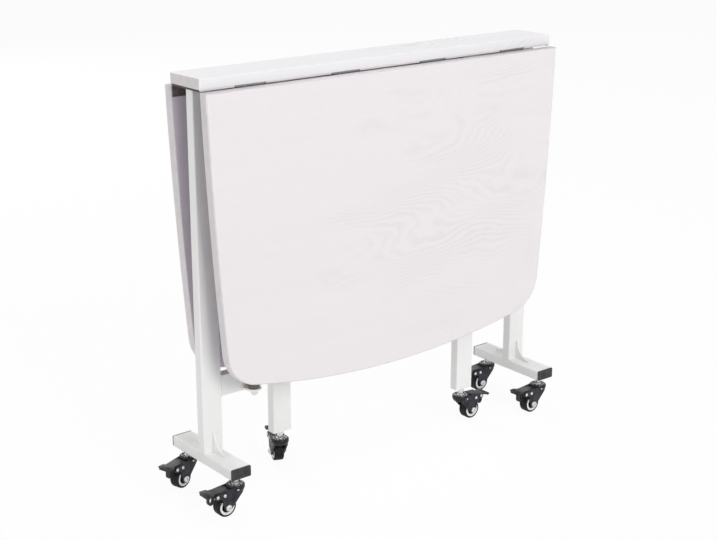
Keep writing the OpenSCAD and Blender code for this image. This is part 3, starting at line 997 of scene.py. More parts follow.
def path_mesh(lines: Sequence[Sequence[Vector]], linked: bool = True) -> Mesh:
    """A mesh of edges or loose points for a pattern to follow.

    Args:
        lines: Points of each line; a closed one repeats its first point.
        linked: Whether each line's points are joined by edges.

    Returns:
        The mesh.
    """
    points: list[Vector] = []
    edges: list[tuple[int, int]] = []
    for line in lines:
        closed = linked and (line[0] - line[-1]).length < SAME_PLACE
        own = list(line[:-1] if closed else line)
        first, count = len(points), len(own)
        points += own
        if linked:
            spans = count if closed else count - 1
            edges += [(first + i, first + (i + 1) % count) for i in range(spans)]
    mesh = bpy.data.meshes.new("path")
    mesh.from_pydata(points, edges, [])
    return mesh


def softened(source: Object, width: float) -> Mesh:
    """A copy of a CAD node with its sharp edges rounded, as a moulding has them.

    Args:
        source: The CAD node's object.
        width: Width of the rounding in metres.

    Returns:
        The rounded mesh, in the table's frame.
    """
    same, flat, sharp = 2e-6, 0.8, 38.0
    copy = source.data.copy()
    work = bmesh.new()
    work.from_mesh(copy)
    bmesh.ops.remove_doubles(work, verts=work.verts, dist=same)
    bmesh.ops.dissolve_limit(
        work, angle_limit=math.radians(flat), verts=work.verts, edges=work.edges
    )
    for face in work.faces:
        face.smooth = True
    holder = in_scene("rounding", written(work, copy))
    bevel = holder.modifiers.new("rounding", "BEVEL")
    bevel.width = width
    bevel.segments = 2
    bevel.limit_method = "ANGLE"
    bevel.angle_limit = math.radians(sharp)
    bevel.harden_normals = True
    return bake(holder)


@dataclass(frozen=True)
class RoundedPlate:
    """A flat piece whose edge is rounded, built from its inset outlines.

    Attributes:
        outline: Gives the outline drawn inside by a distance.
        thickness: Thickness of the plate.
        edge: Radius of its edge.
        steps: Faces across a quarter of the edge.
        rim: Width of the flat ring inside the edge, which keeps its shading clean.
        banded: Least share of X in the direction of an edge face that gets the second finish.
    """

    outline: Callable[[float], Loop]
    thickness: float
    edge: float
    steps: int = 6
    rim: float = 0.0012
    banded: float = 0.0

    def layers(self) -> list[Point2]:
        """The inset and the height of each ring, from the lower face to the upper one.

        Returns:
            The rings' insets and heights.
        """
        half = self.thickness / 2
        quarter = [
            (self.edge * (1 - math.cos(turn)), half - self.edge * (1 - math.sin(turn)))
            for turn in (QUARTER * k / self.steps for k in range(self.steps + 1))
        ]
        return mirrored([*quarter, (self.edge + self.rim, half)])

    def mesh(self, place: Matrix) -> Mesh:
        """Builds the plate.

        Args:
            place: Puts the plate, drawn in X and Y about Z = 0, into the table's frame.

        Returns:
            The closed mesh with outward faces.
        """
        work = bmesh.new()
        rings = [
            [work.verts.new(place @ Vector((x, y, height))) for x, y in self.outline(inset)]
            for inset, height in self.layers()
        ]
        tube_faces(work, rings)
        work.normal_update()
        work.verts.index_update()
        first, last = len(rings[0]), len(rings[0]) * (len(rings) - 1)
        for face in work.faces:
            places = [vert.index for vert in face.verts]
            flat = min(places) < first or max(places) >= last
            face.material_index = int(not flat and abs(face.normal.x) >= self.banded)
        return finished(work, 180.0)


def arc(centre: Point2, radius: float, start: float, end: float, steps: int) -> Loop:
    """Points on an arc.

    Args:
        centre: Its centre.
        radius: Its radius.
        start: Start angle in radians.
        end: End angle in radians.
        steps: Number of spans.

    Returns:
        The points with both ends.
    """
    return [
        (centre[0] + radius * math.cos(a), centre[1] + radius * math.sin(a))
        for a in (start + (end - start) * k / steps for k in range(steps + 1))
    ]


@dataclass
class Boards:
    """The fixed strip and both leaves.

    Attributes:
        shop: The workshop.
        length: Length of the top along the hinges.
        strip_width: Width of the fixed strip.
        thickness: Thickness of the boards.
        height: Height of the top above the floor.
        edge: Radius of the boards' edges.
        strip_corner: Radius of the strip's corners.
        leaf_length: Leaf from its hinged edge to the middle of its free edge.
        leaf_top: Height of the hinged edge of a hanging leaf.
        corner_radius: Radius of the outer corners of a leaf.
        end_radius: Radius of the bowed free edge.
        side_radius: Radius of the bowed sides.
        side_lean: How far the sides lean in at the hinge, in degrees.
        buffer: Length, height and thickness of the dark pads inside the leaves, which partly stand
            in for the shade under the strip.
        buffer_inset: From the strip's end and from the leaf's hinged edge to a pad.
        end_bar: Length, width and height of the dark bars under the strip's ends, which partly
            stand in for the shade there.
        bar_inset: From the strip's end to a bar.
        bar_sunk: How far a bar reaches into the strip.
        lip: Thickness and height of the lips under the strip's long edges.
        lip_inset: From the strip's long face to a lip.
        lip_drop: How far a lip hangs below the strip.
        lip_spans: Where the lips run between the hinges, from the middle of the top.
        soft: How far the sides of a lip, a bar and a pad slope in.
    """

    shop: Workshop
    length: float = 0.8
    strip_width: float = 0.088
    thickness: float = 0.019
    height: float = 0.76
    edge: float = 0.002
    strip_corner: float = 0.0016
    leaf_length: float = 0.55
    leaf_top: float = 0.7374
    corner_radius: float = 0.07
    end_radius: float = 1.6
    side_radius: float = 8.5
    side_lean: float = 2.0
    buffer: Point3 = (0.045, 0.019, 0.0014)
    buffer_inset: Point2 = (0.003, 0.001)
    end_bar: Point3 = (0.0824, 0.0062, 0.0031)
    bar_inset: float = 0.0007
    bar_sunk: float = 0.0001
    lip: Point2 = (0.0026, 0.0022)
    lip_inset: float = 0.0001
    lip_drop: float = 0.0018
    lip_spans: tuple[Point2, ...] = (
        (-0.3985, -0.3315), (-0.2685, -0.1315), (-0.0685, 0.0685), (0.1315, 0.2685),
        (0.3315, 0.3985),
    )
    soft: Point3 = (0.0003, 0.0002, 0.0008)

    def build(self) -> None:
        """Builds the three boards with their trim."""
        self.build_strip()
        self.build_lips()
        self.build_end_bars()
        for side, body in ((-1, "front_leaf"), (1, "rear_leaf")):
            self.build_leaf(side, body)
            self.build_buffers(side, body)

    def build_strip(self) -> None:
        """Builds the fixed strip."""
        plate = RoundedPlate(self.strip_outline, self.thickness, self.edge, banded=0.7)
        mesh = plate.mesh(moved(MIDDLE_X, 0, self.height - self.thickness / 2))
        self.shop.add(mesh, "top_strip", "frame", Look.BOARD, ["center_top"], Look.BAND)

    def build_lips(self) -> None:
        """Narrow lips under the strip's long edges, which leave the hinges free."""
        thick, high = self.lip
        low = self.height - self.thickness - self.lip_drop
        reach = self.strip_width / 2 - self.lip_inset - thick / 2
        lips = [
            placed(rounded_bar(end - start, thick, high, self.soft[0]),
                   moved(MIDDLE_X + (start + end) / 2, side * reach, low))
            for side in SIDES for start, end in self.lip_spans
        ]
        self.shop.add(joined(lips), "top_strip_lips", "frame", Look.BAND)

    def build_end_bars(self) -> None:
        """Dark bars across the underside of the strip at both of its ends, partly standing in for
        the shade under the strip.
        """
        long, wide, high = self.end_bar
        low = self.height - self.thickness - high + self.bar_sunk
        reach = self.length / 2 - self.bar_inset - wide / 2
        bars = [
            placed(rounded_bar(long, wide, high, self.soft[1]),
                   moved(MIDDLE_X + end * reach, 0.0, low) @ turned(QUARTER, "Z"))
            for end in SIDES
        ]
        self.shop.add(joined(bars), "strip_end_bars", "frame", Look.DARK_PART_AND_SHADE)

    def strip_outline(self, inset: float) -> Loop:
        """The strip's outline drawn inside by a distance.

        Args:
            inset: The distance.

        Returns:
            The closed outline.
        """
        x = self.length / 2 - inset - self.strip_corner
        y = self.strip_width / 2 - inset - self.strip_corner
        loop: Loop = []
        for k, (sx, sy) in enumerate(((1, 1), (-1, 1), (-1, -1), (1, -1))):
            loop += arc((sx * x, sy * y), self.strip_corner, k * QUARTER, (k + 1) * QUARTER, 4)
        return loop

    def build_leaf(self, side: int, body: str) -> None:
        """Builds a hanging leaf.

        Args:
            side: -1 for the front leaf, 1 for the rear one.
            body: The leaf's CAD body and node.
        """
        plate = RoundedPlate(self.leaf_outline, self.thickness, self.edge)
        y = side * (self.strip_width / 2 + self.thickness / 2)
        mesh = plate.mesh(moved(MIDDLE_X, y, self.leaf_top) @ turned(-QUARTER, "X"))
        self.shop.add(mesh, body + "_board", body, Look.BOARD, [body], Look.BAND)

    def build_buffers(self, side: int, body: str) -> None:
        """Dark pads at both ends of a leaf's inner face, under the strip, which partly stand in
        for the shade there.

        Args:
            side: -1 for the front leaf, 1 for the rear one.
            body: The leaf's body.
        """
        size, high, thick = self.buffer
        from_end, from_top = self.buffer_inset
        reach = self.length / 2 - from_end - size / 2
        y, z = side * self.strip_width / 2, self.leaf_top - from_top - high / 2
        pads = [
            placed(rounded_bar(size, high, thick, self.soft[2]),
                   moved(MIDDLE_X + end * reach, y, z) @ turned(side * QUARTER, "X"))
            for end in SIDES
        ]
        self.shop.add(joined(pads), body + "_buffers", body, Look.DARK_PART_AND_SHADE)

    def leaf_outline(self, inset: float) -> Loop:
        """The leaf's outline drawn inside by a distance, with Y down from its hinged edge.

        Args:
            inset: The distance.

        Returns:
            The closed outline.
        """
        lean = math.radians(self.side_lean)
        side = (
            self.length / 2 - self.side_radius * math.cos(lean),
            -self.side_radius * math.sin(lean),
        )
        end = (0.0, self.leaf_length - self.end_radius)
        corner = self.meet(
            end, self.end_radius - self.corner_radius, side, self.side_radius - self.corner_radius
        )
        start = math.asin((inset - side[1]) / (self.side_radius - inset))
        turn_a = math.atan2(corner[1] - side[1], corner[0] - side[0])
        turn_b = math.atan2(corner[1] - end[1], corner[0] - end[0])
        half = [
            *arc(side, self.side_radius - inset, start, turn_a, 10),
            *arc(corner, self.corner_radius - inset, turn_a, turn_b, 20)[1:],
            *arc(end, self.end_radius - inset, turn_b, QUARTER, 14)[1:],
        ]
        return half + [(-x, y) for x, y in reversed(half[:-1])]

    @staticmethod
    def meet(a: Point2, radius_a: float, b: Point2, radius_b: float) -> Point2:
        """The crossing of two circles at the leaf's outer corner.

        Args:
            a: Centre of one circle.
            radius_a: Its radius.
            b: Centre of the other circle.
            radius_b: Its radius.

        Returns:
            The crossing.
        """
        dx, dy = b[0] - a[0], b[1] - a[1]
        gap = math.hypot(dx, dy)
        ux, uy = dx / gap, dy / gap
        along = (radius_a**2 - radius_b**2 + gap**2) / (2 * gap)
        across = math.sqrt(radius_a**2 - along**2)
        return a[0] + along * ux + across * uy, a[1] + along * uy - across * ux


@dataclass(frozen=True)
class CasterPlace:
    """Where one caster stands.

    Attributes:
        name: The caster's name.
        x: X of its stem.
        y: Y of its stem.
        lift: How far its wheel is above the floor.
        heading: Direction in which its wheel trails, in degrees.
        pressed: How far its pedal is down, in degrees.
    """

    name: str
    x: float
    y: float
    lift: float = 0.0
    heading: float = 180.0
    pressed: float = 0.0

    def place(self) -> Matrix:
        """From the caster's own frame to the table's."""
        return moved(self.x, self.y, self.lift) @ turned(math.radians(self.heading), "Z")


CASTERS = (
    CasterPlace("front_left", -0.35275, -0.0755),
    CasterPlace("rear_left", -0.35275, 0.0755, heading=196.0),
    CasterPlace("front_right", 0.39225, -0.0755),
    CasterPlace("rear_right", 0.39225, 0.0755),
    CasterPlace("front_gate", 0.22275, -0.027, 0.0035, 0.0, 12.0),
    CasterPlace("rear_gate", -0.18325, 0.027, 0.0035, 68.0),
)


@dataclass
class Caster:
    """One braked swivel caster; its stem stands at its origin and its wheel trails towards +X.

    Attributes:
        shop: The workshop.
        at: Where it stands.
        trail: From the stem to the axle.
        wheel_radius: Outer radius of the tread.
        tread_half: Half of the tread's width.
        groove: From the wheel's middle plane to a groove of the tread.
        ring_inner: Inner radius of the pale ring.
        ring_outer: Radius where the ring meets the tread.
        hub_radius: Radius of the hub.
        hub_half: Half of the hub's length.
        axle_hole: Radius of the hole for the axle.
        wheel_ribs: Number of the ribs between hub and ring.
        wheel_rib: Their thickness and depth.
        fork_face: From the middle plane to the outside of a fork plate.
        fork_soft: Rounding of the fork's edges.
        pedal_soft: Rounding of the pedal's edges.
        head_low: Height of the underside of the swivel head.
        head_high: Height of the top of the swivel head.
        head_radius: Widest radius of the swivel head.
        stem_hole: Radius of the hole for the stem.
        barrel_ribs: Number of the ribs round the swivel head.
        barrel_rib: Length, width, height and slope of such a rib.
        balls: Number of the balls in the swivel head.
        race_radius: Radius of the ring of balls.
        pin: X and Z of the brake pin.
        pin_head: Radius of the pin's heads.
        rivets: X, Z, distance from the middle plane, radius and stretch of the other rivets.
        grip: X and Z of the middle of the pedal's grip.
        ridges: Number of the grip's ridges.
        ridge_step: Distance between them.
        ridge: Length, width, height and slope of a ridge.
        grip_slope: Slope of the pedal, in degrees.
    """

    shop: Workshop
    at: CasterPlace
    trail: float = 0.0235
    wheel_radius: float = 0.019
    tread_half: float = 0.0095
    groove: float = 0.003
    ring_inner: float = 0.0103
    ring_outer: float = 0.01495
    hub_radius: float = 0.0065
    hub_half: float = 0.0102
    axle_hole: float = 0.00305
    wheel_ribs: int = 9
    wheel_rib: Point2 = (0.0013, 0.0162)
    fork_face: float = 0.0135
    fork_soft: float = 0.0007
    pedal_soft: float = 0.0005
    head_low: float = 0.0435
    head_high: float = 0.056
    head_radius: float = 0.0163
    stem_hole: float = 0.0043
    barrel_ribs: int = 26
    barrel_rib: Bar = (0.0066, 0.0013, 0.0008, 0.0003)
    balls: int = 12
    race_radius: float = 0.0121
    pin: Point2 = (0.0305, 0.0435)
    pin_head: float = 0.0031
    rivets: tuple[tuple[float, float, float, float, float], ...] = (
        (0.0448, 0.0442, 0.0135, 0.0031, 1.0),
        (0.004, 0.048, 0.0154, 0.0019, 1.35),
    )
    grip: Point2 = (0.062, 0.05205)
    ridges: int = 4
    ridge_step: float = 0.0021
    ridge: Bar = (0.0215, 0.0012, 0.0006, 0.0004)
    grip_slope: float = 1.73

    def build(self) -> None:
        """Builds every piece of the caster."""
        self.soften("caster_fork", "caster", Look.FORK, self.fork_soft)
        self.soften("brake_pedal", "pedal", Look.PEDAL, self.pedal_soft)
        self.build_grip()
        self.build_barrel()
        self.build_dish()
        self.build_balls()
        self.build_fasteners()
        self.build_wheel()

    def put(
        self, mesh: Mesh, part: str, look: Look, stands_for: str = "", on: str = "caster"
    ) -> None:
        """Hands in a piece of the caster; the caster's own name is put before all names.

        Args:
            mesh: Its mesh, in the table's frame.
            part: Its name.
            look: Its finish.
            stands_for: The CAD node that it replaces, if it replaces one.
            on: The body that it rides on.
        """
        own = self.at.name + "_"
        nodes = [own + stands_for] if stands_for else []
        self.shop.add(mesh, own + part, own + on, look, nodes)

    def soften(self, node: str, on: str, look: Look, width: float) -> None:
        """Replaces a CAD node by a copy whose edges are rounded by a width."""
        source = self.shop.nodes[f"{self.at.name}_{node}"]
        self.put(softened(source, width), node + "_moulding", look, node, on)

    def build_grip(self) -> None:
        """Ridges across the tip of the pedal."""
        pin, grip = (Vector((x, 0.0, z)) for x, z in (self.pin, self.grip))
        place = (
            self.at.place()
            @ Matrix.Translation(pin) @ turned(math.radians(self.at.pressed), "Y")
            @ Matrix.Translation(grip - pin) @ turned(math.radians(-self.grip_slope), "Y")
        )
        ridge = placed(rounded_bar(*self.ridge), turned(QUARTER, "Z"))
        sizes = {"Count": self.ridges, "Step": (self.ridge_step, 0.0, 0.0)}
        mesh = self.shop.row.mesh(ridge, Look.PEDAL, sizes)
        self.put(placed(mesh, place), "pedal_grip", Look.PEDAL, on="pedal")

    def build_barrel(self) -> None:
        """The barrel-shaped swivel head with its fine ribs."""
        low, high, wide = self.head_low, self.head_high, self.head_radius
        barrel = Turned([
            (0.0128, low + 0.0004), (0.0145, low), (wide - 0.0009, low + 0.0016),
            (wide - 0.0002, low + 0.004), (wide, low + 0.0062), (wide - 0.0002, low + 0.0085),
            (wide - 0.0011, low + 0.0106), (wide - 0.0022, high - 0.0008),
            (wide - 0.0027, high - 0.0008), (wide - 0.0031, high - 0.0014),
            (wide - 0.0033, high - 0.0024), (0.0106, high - 0.0026),
        ], 64)
        self.put(barrel.mesh(self.at.place()), "swivel_barrel", Look.HEAD)
        rib = placed(rounded_bar(*self.barrel_rib), turned(QUARTER, "Y"))
        sizes = {"Count": self.barrel_ribs, "Radius": wide - 0.0005}
        mesh = self.shop.ring.mesh(rib, Look.HEAD, sizes)
        place = self.at.place() @ moved(0.0, 0.0, low + 0.0068)
        self.put(placed(mesh, place), "barrel_ribs", Look.HEAD)

    def build_dish(self) -> None:
        """The plated dish in the swivel head, dark and spotted partly as painted reflection, and
        the collar round the stem.
        """
        high, hole = self.head_high, self.stem_hole
        dish = Turned([
            (0.0066, high - 0.0024), (0.0112, high - 0.0024), (0.0112, high - 0.0014),
            (0.0106, high - 0.0008), (0.0098, high - 0.0012), (0.0084, high - 0.0013),
            (0.0074, high - 0.0012), (0.0066, high - 0.0012),
        ], 64)
        mesh = dish.mesh(self.at.place(), 50.0)
        self.put(mesh, "swivel_dish", Look.CHROME, "caster_hardware")
        collar = Turned([
            (hole, high - 0.0024), (0.0067, high - 0.0024), (0.0067, high - 0.0007),
            (0.0063, high - 0.0002), (0.0057, high), (hole, high),
        ])
        self.put(collar.mesh(self.at.place()), "stem_collar", Look.BOLT)

    def build_balls(self) -> None:
        """The ring of balls that shows round the dish."""
        ball = Turned([
            (0.0, -0.0012), (0.0013, -0.0012), (0.0013, 0.0001), (0.00105, 0.0007),
            (0.0006, 0.00095), (0.0, 0.00105),
        ], 12).mesh()
        sizes = {"Count": self.balls, "Radius": self.race_radius}
        mesh = self.shop.ring.mesh(ball, Look.RIVET, sizes)
        place = self.at.place() @ moved(0.0, 0.0, self.head_high - 0.0015)
        self.put(placed(mesh, place), "race_balls", Look.RIVET)

    def across(self, x: float, z: float, y: float, side: int) -> Matrix:
        """The place of a piece drawn about Z that points out of one side of the caster."""
        return self.at.place() @ moved(x, side * y, z) @ turned(-side * QUARTER, "X")

    @staticmethod
    def dome(radius: float) -> Turned:
        """A domed rivet head of a radius, its foot sunk a little.

        Args:
            radius: The head's radius.

        Returns:
            The turned head.
        """
        high = radius * 0.45
        return Turned([
            (0.0, -0.0012), (radius, -0.0012), (radius, high * 0.25), (radius * 0.9, high * 0.6),
            (radius * 0.7, high * 0.85), (radius * 0.4, high * 0.97), (0.0, high),
        ], 24)

    def build_fasteners(self) -> None:
        """Domed rivets, the brake pin's heads and the axle's bolt heads."""
        spots = [(*self.pin, self.fork_face, self.pin_head, 1.0), *self.rivets]
        heads = [
            self.dome(radius).mesh(
                self.across(x, z, y, side) @ Matrix.Diagonal((wide, 1 / wide, 1.0, 1.0))
            )
            for x, z, y, radius, wide in spots for side in SIDES
        ]
        self.put(joined(heads), "rivets", Look.RIVET)
        button = Turned([
            (0.0, -0.0003), (0.0058, -0.0003), (0.0058, 0.0017), (0.0055, 0.0025),
            (0.0048, 0.0031), (0.0037, 0.0035), (0.0024, 0.0036), (0.0021, 0.0033),
            (0.0021, 0.0021), (0.0, 0.0019),
        ], 40)
        bolts = [
            button.mesh(self.across(self.trail, self.wheel_radius, self.fork_face, side))
            for side in SIDES
        ]
        self.put(joined(bolts), "axle_bolts", Look.BOLT)

    def build_wheel(self) -> None:
        """The tread, the pale ring and the ribbed core."""
        place = self.across(self.trail, self.wheel_radius, 0.0, 1)
        inner, outer = self.ring_inner, self.ring_outer
        hub, end, hole = self.hub_radius, self.hub_half, self.axle_hole
        tread = Turned(mirrored(self.tread_half_profile()), 96)
        self.put(tread.mesh(place, 25.0), "tread", Look.TYRE, "tyre", "wheel")
        ring = Turned(mirrored([
            (outer, 0.009), (outer - 0.0005, 0.0094), (outer - 0.0018, 0.0096),
            (inner + 0.0012, 0.0094), (inner + 0.0003, 0.0089), (inner, 0.008),
        ]), 96)
        self.put(ring.mesh(place, 45.0), "wheel_ring", Look.RIM, "wheel_rim", "wheel")
        core = Turned(mirrored([
            (inner + 0.0001, 0.0036), (hub, 0.004), (hub, end - 0.0003), (hub - 0.0003, end),
            (hole, end),
        ]), 64)
        self.put(core.mesh(place), "wheel_core", Look.CORE, on="wheel")
        thick, deep = self.wheel_rib
        rib = placed(rounded_bar(inner - hub + 0.0006, thick, deep, 0.0002),
                     moved(0.0, 0.0, -deep / 2))
        sizes = {"Count": self.wheel_ribs, "Radius": (hub + inner) / 2}
        mesh = self.shop.ring.mesh(rib, Look.CORE, sizes)
        self.put(placed(mesh, place), "wheel_ribs", Look.CORE, on="wheel")

    def tread_half_profile(self) -> Loop:
        """Half of the tread's section: a fine groove and a round shoulder.

        Returns:
            Radius and height of its corners, from the groove outwards.
        """
        radius, half, soft = self.wheel_radius, self.tread_half, 0.003
        groove, depth, width, slope = self.groove, 0.00035, 0.0004, 0.0001
        return [
            (radius, groove - width - slope), (radius - depth, groove - width),
            (radius - depth, groove + width), (radius, groove + width + slope),
            *arc((radius - soft, half - soft), soft, 0.0, QUARTER, 8),
            (self.ring_outer + 0.0005, half), (self.ring_outer, half - 0.0004),
        ]


@dataclass
class Details:
    """Small things that repeat on the frame: welds, screw heads and the ridges of the caps.

    Attributes:
        shop: The workshop.
        post_x: From the middle of the top to the middle of a post.
        foot_top: Height of the top of the feet.
        foot_half: Half of a foot's length, with its caps.
        foot_middle: Height of the middle of a foot.
        tube_wide: Half of the wide side of the tube.
        tube_narrow: Half of its narrow side.
        corner: Radius of the tube's corners.
        gusset_weld: Length of the welds along a gusset's legs.
        gusset_half: Half of a gusset's thickness.
        pin_y: From the middle plane to a hinge pin.
        pin_z: Height of the hinge pins.
        bead: Radius of a weld bead.
        ridges: Number of the ridges on an end cap.
        ridge_step: Distance between them.
        ridge: Length, width, height and slope of a ridge.
        hinges: X of the four hinges from the middle of the top.
        hinge_screws: X from the hinge's middle and distance from its pin, for each screw.
        plate_screws_x: X of the top plates' screws from their post.
        plate_screws_y: Their distance from the middle plane.
        head_fixed: Height of the heads under the fixed hinge plates.
        head_leaf: Distance from the middle plane of the heads on the leaves.
        head_plate: Height of the heads under the top plates.
    """

    shop: Workshop
    post_x: float = 0.3725
    foot_top: float = 0.09
    foot_half: float = 0.0955
    foot_middle: float = 0.08
    tube_wide: float = 0.02
    tube_narrow: float = 0.01
    corner: float = 0.0025
    gusset_weld: float = 0.035
    gusset_half: float = 0.0015
    pin_y: float = 0.0425
    pin_z: float = 0.7395
    bead: float = 0.0013
    ridges: int = 6
    ridge_step: float = 0.0026
    ridge: Bar = (0.034, 0.0011, 0.00035, 0.0003)
    hinges: tuple[float, ...] = (-0.3, -0.1, 0.1, 0.3)
    hinge_screws: tuple[Point2, ...] = ((-0.02, 0.014), (0.0, 0.009), (0.02, 0.014))
    plate_screws_x: Point2 = (-0.036, 0.008)
    plate_screws_y: float = 0.0145
    head_fixed: float = 0.7386
    head_leaf: float = 0.0416
    head_plate: float = 0.7368

    def build(self) -> None:
        """Builds all of them."""
        self.build_welds()
        self.build_screws()
        self.build_cap_ridges()

    def tube_end(self, node: str, end: int) -> list[Vector]:
        """The outline where a level tube along X meets its neighbour.

        Args:
            node: The tube's CAD node.
            end: 0 for its low end, 1 for its high one.

        Returns:
            The closed outline.
        """
        low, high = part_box(node)
        x = (low.x, high.x)[end]
        cut = self.corner * 0.6
        points = [
            (low.y + cut, low.z), (high.y - cut, low.z), (high.y, low.z + cut),
            (high.y, high.z - cut), (high.y - cut, high.z), (low.y + cut, high.z),
            (low.y, high.z - cut), (low.y, low.z + cut), (low.y + cut, low.z),
        ]
        return [Vector((x, y, z)) for y, z in points]

    def foot_welds(self, x: float) -> list[list[Vector]]:
        """Welds between a post, its foot and its two gussets.

        Args:
            x: X of the post.

        Returns:
            The open lines.
        """
        z, wide = self.foot_top, self.tube_wide - self.corner
        lines = []
        for side in SIDES:
            face = side * self.tube_narrow
            far = face + side * self.gusset_weld
            lines.append([Vector((x - wide, face, z)), Vector((x + wide, face, z))])
            for edge in (x - self.gusset_half, x + self.gusset_half):
                for y, top in ((far, z), (face, z + self.gusset_weld)):
                    lines.append([Vector((edge, face, z)), Vector((edge, y, top))])
        return lines

    def build_welds(self) -> None:
        """Weld beads, one piece for each body."""
        frame = [line for end in SIDES for line in self.foot_welds(MIDDLE_X + end * self.post_x)]
        for tube in ("lower_stretcher", "upper_rail"):
            frame += [self.tube_end(tube, 0), self.tube_end(tube, 1)]
        seams = {"frame": frame}
        for gate, end in (("front_gate", 1), ("rear_gate", 0)):
            seams[gate] = [self.tube_end(f"{gate}_{arm}_arm", end) for arm in ("upper", "lower")]
        bead = self.bead
        for seed, (body, lines) in enumerate(seams.items()):
            drop_shape = Turned([
                (0.0, -bead), (bead * 0.75, -bead * 0.6), (bead, 0.0), (bead * 0.75, bead * 0.6),
                (0.0, bead),
            ], 8).mesh(sharp=80.0)
            sizes = {"Pitch": bead * 1.15, "Seed": seed}
            mesh = self.shop.seam.mesh(drop_shape, Look.PAINT, sizes, path_mesh(lines))
            self.shop.add(mesh, body + "_welds", body, Look.PAINT)

    @staticmethod
    def screw_head() -> Mesh:
        """A domed head with a cross recess, pointing up.

        Returns:
            The head's mesh.
        """
        dome = Turned([
            (0.0, -0.0009), (0.00275, -0.0009), (0.00275, 0.00005), (0.0024, 0.00035),
            (0.0016, 0.00055), (0.0, 0.0006),
        ], 20).mesh()
        holder = in_scene("screw_head", dome)
        cutters = []
        for turn in (0.0, QUARTER):
            bar = rounded_bar(0.003, 0.0007, 0.002, 0.00005)
            place = turned(turn, "Z") @ moved(0.0, 0.0, -0.0004)
            cutters.append(in_scene("recess", placed(bar, place)))
            cross = holder.modifiers.new("cross", "BOOLEAN")
            cross.operation = "DIFFERENCE"
            cross.object = cutters[-1]
        mesh = bake(holder)
        for cutter in cutters:
            drop(cutter)
        return mesh

    def build_screws(self) -> None:
        """Heads over the screws of the top plates and of both halves of the hinges."""
        under = [
            Vector((MIDDLE_X + end * (self.post_x + x), side * self.plate_screws_y,
                    self.head_plate))
            for end in SIDES for x in self.plate_screws_x for side in SIDES
        ]
        front, rear = [], []
        for hinge in self.hinges:
            for x, reach in self.hinge_screws:
                inside, z = self.pin_y - reach, self.pin_z - reach
                left, right = MIDDLE_X + hinge + x, MIDDLE_X + hinge - x
                under.append(Vector((left, -inside, self.head_fixed)))
                under.append(Vector((right, inside, self.head_fixed)))
                front.append(Vector((left, -self.head_leaf, z)))
                rear.append(Vector((right, self.head_leaf, z)))
        sets = (("frame", under, math.pi), ("front_leaf", front, -QUARTER),
                ("rear_leaf", rear, QUARTER))
        for body, points, turn in sets:
            sizes = {"Turn": (turn, 0.0, 0.0)}
            mesh = self.shop.scatter.mesh(
                self.screw_head(), Look.ZINC, sizes, path_mesh([points], False)
            )
            self.shop.add(mesh, body + "_screw_heads", body, Look.ZINC)

    def build_cap_ridges(self) -> None:
        """Fine ridges on the outside of the four end caps."""
        sizes = {"Count": self.ridges, "Step": (0.0, self.ridge_step, 0.0)}
        meshes = [
            placed(self.shop.row.mesh(rounded_bar(*self.ridge), Look.CAP, sizes),
                   moved(MIDDLE_X + end * self.post_x, side * self.foot_half, self.foot_middle)
                   @ turned(-side * QUARTER, "X"))
            for end in SIDES for side in SIDES
        ]
        self.shop.add(joined(meshes), "end_cap_ridges", "frame", Look.CAP)


NODE_LOOKS: dict[Look, tuple[str, ...]] = {
    Look.PAINT: (
        "left_post", "right_post", "left_foot", "right_foot", "foot_gussets", "upper_rail",
        "lower_stretcher", "front_gate_leg", "front_gate_upper_arm",
        "front_gate_lower_arm", "front_gate_pivot_tube", "rear_gate_leg", "rear_gate_upper_arm",
        "rear_gate_lower_arm", "rear_gate_pivot_tube",
    ),
    Look.CAP: ("foot_end_caps",),
    Look.BUSH: ("gate_pivot_bushes",),
    Look.BRACKET: ("gate_brackets",),
    Look.ZINC: (
        "top_screws", "gate_pivot_rods", "foot_caster_stems", "front_gate_caster_stem",
        "rear_gate_caster_stem",
    ),
    # The top plates take the dark plating that partly paints the shade under the strip.
    Look.PLATE: ("top_plates",),
    Look.HINGE: ("fixed_hinge_plates", "front_leaf_hinges", "rear_leaf_hinges"),
    Look.BOARD: ("center_top", "front_leaf", "rear_leaf"),
}
CASTER_LOOKS: dict[Look, str] = {
    Look.TYRE: "tyre",
    Look.RIM: "wheel_rim",
    Look.CHROME: "caster_hardware",
    Look.FORK: "caster_fork",
    Look.PEDAL: "brake_pedal",
}


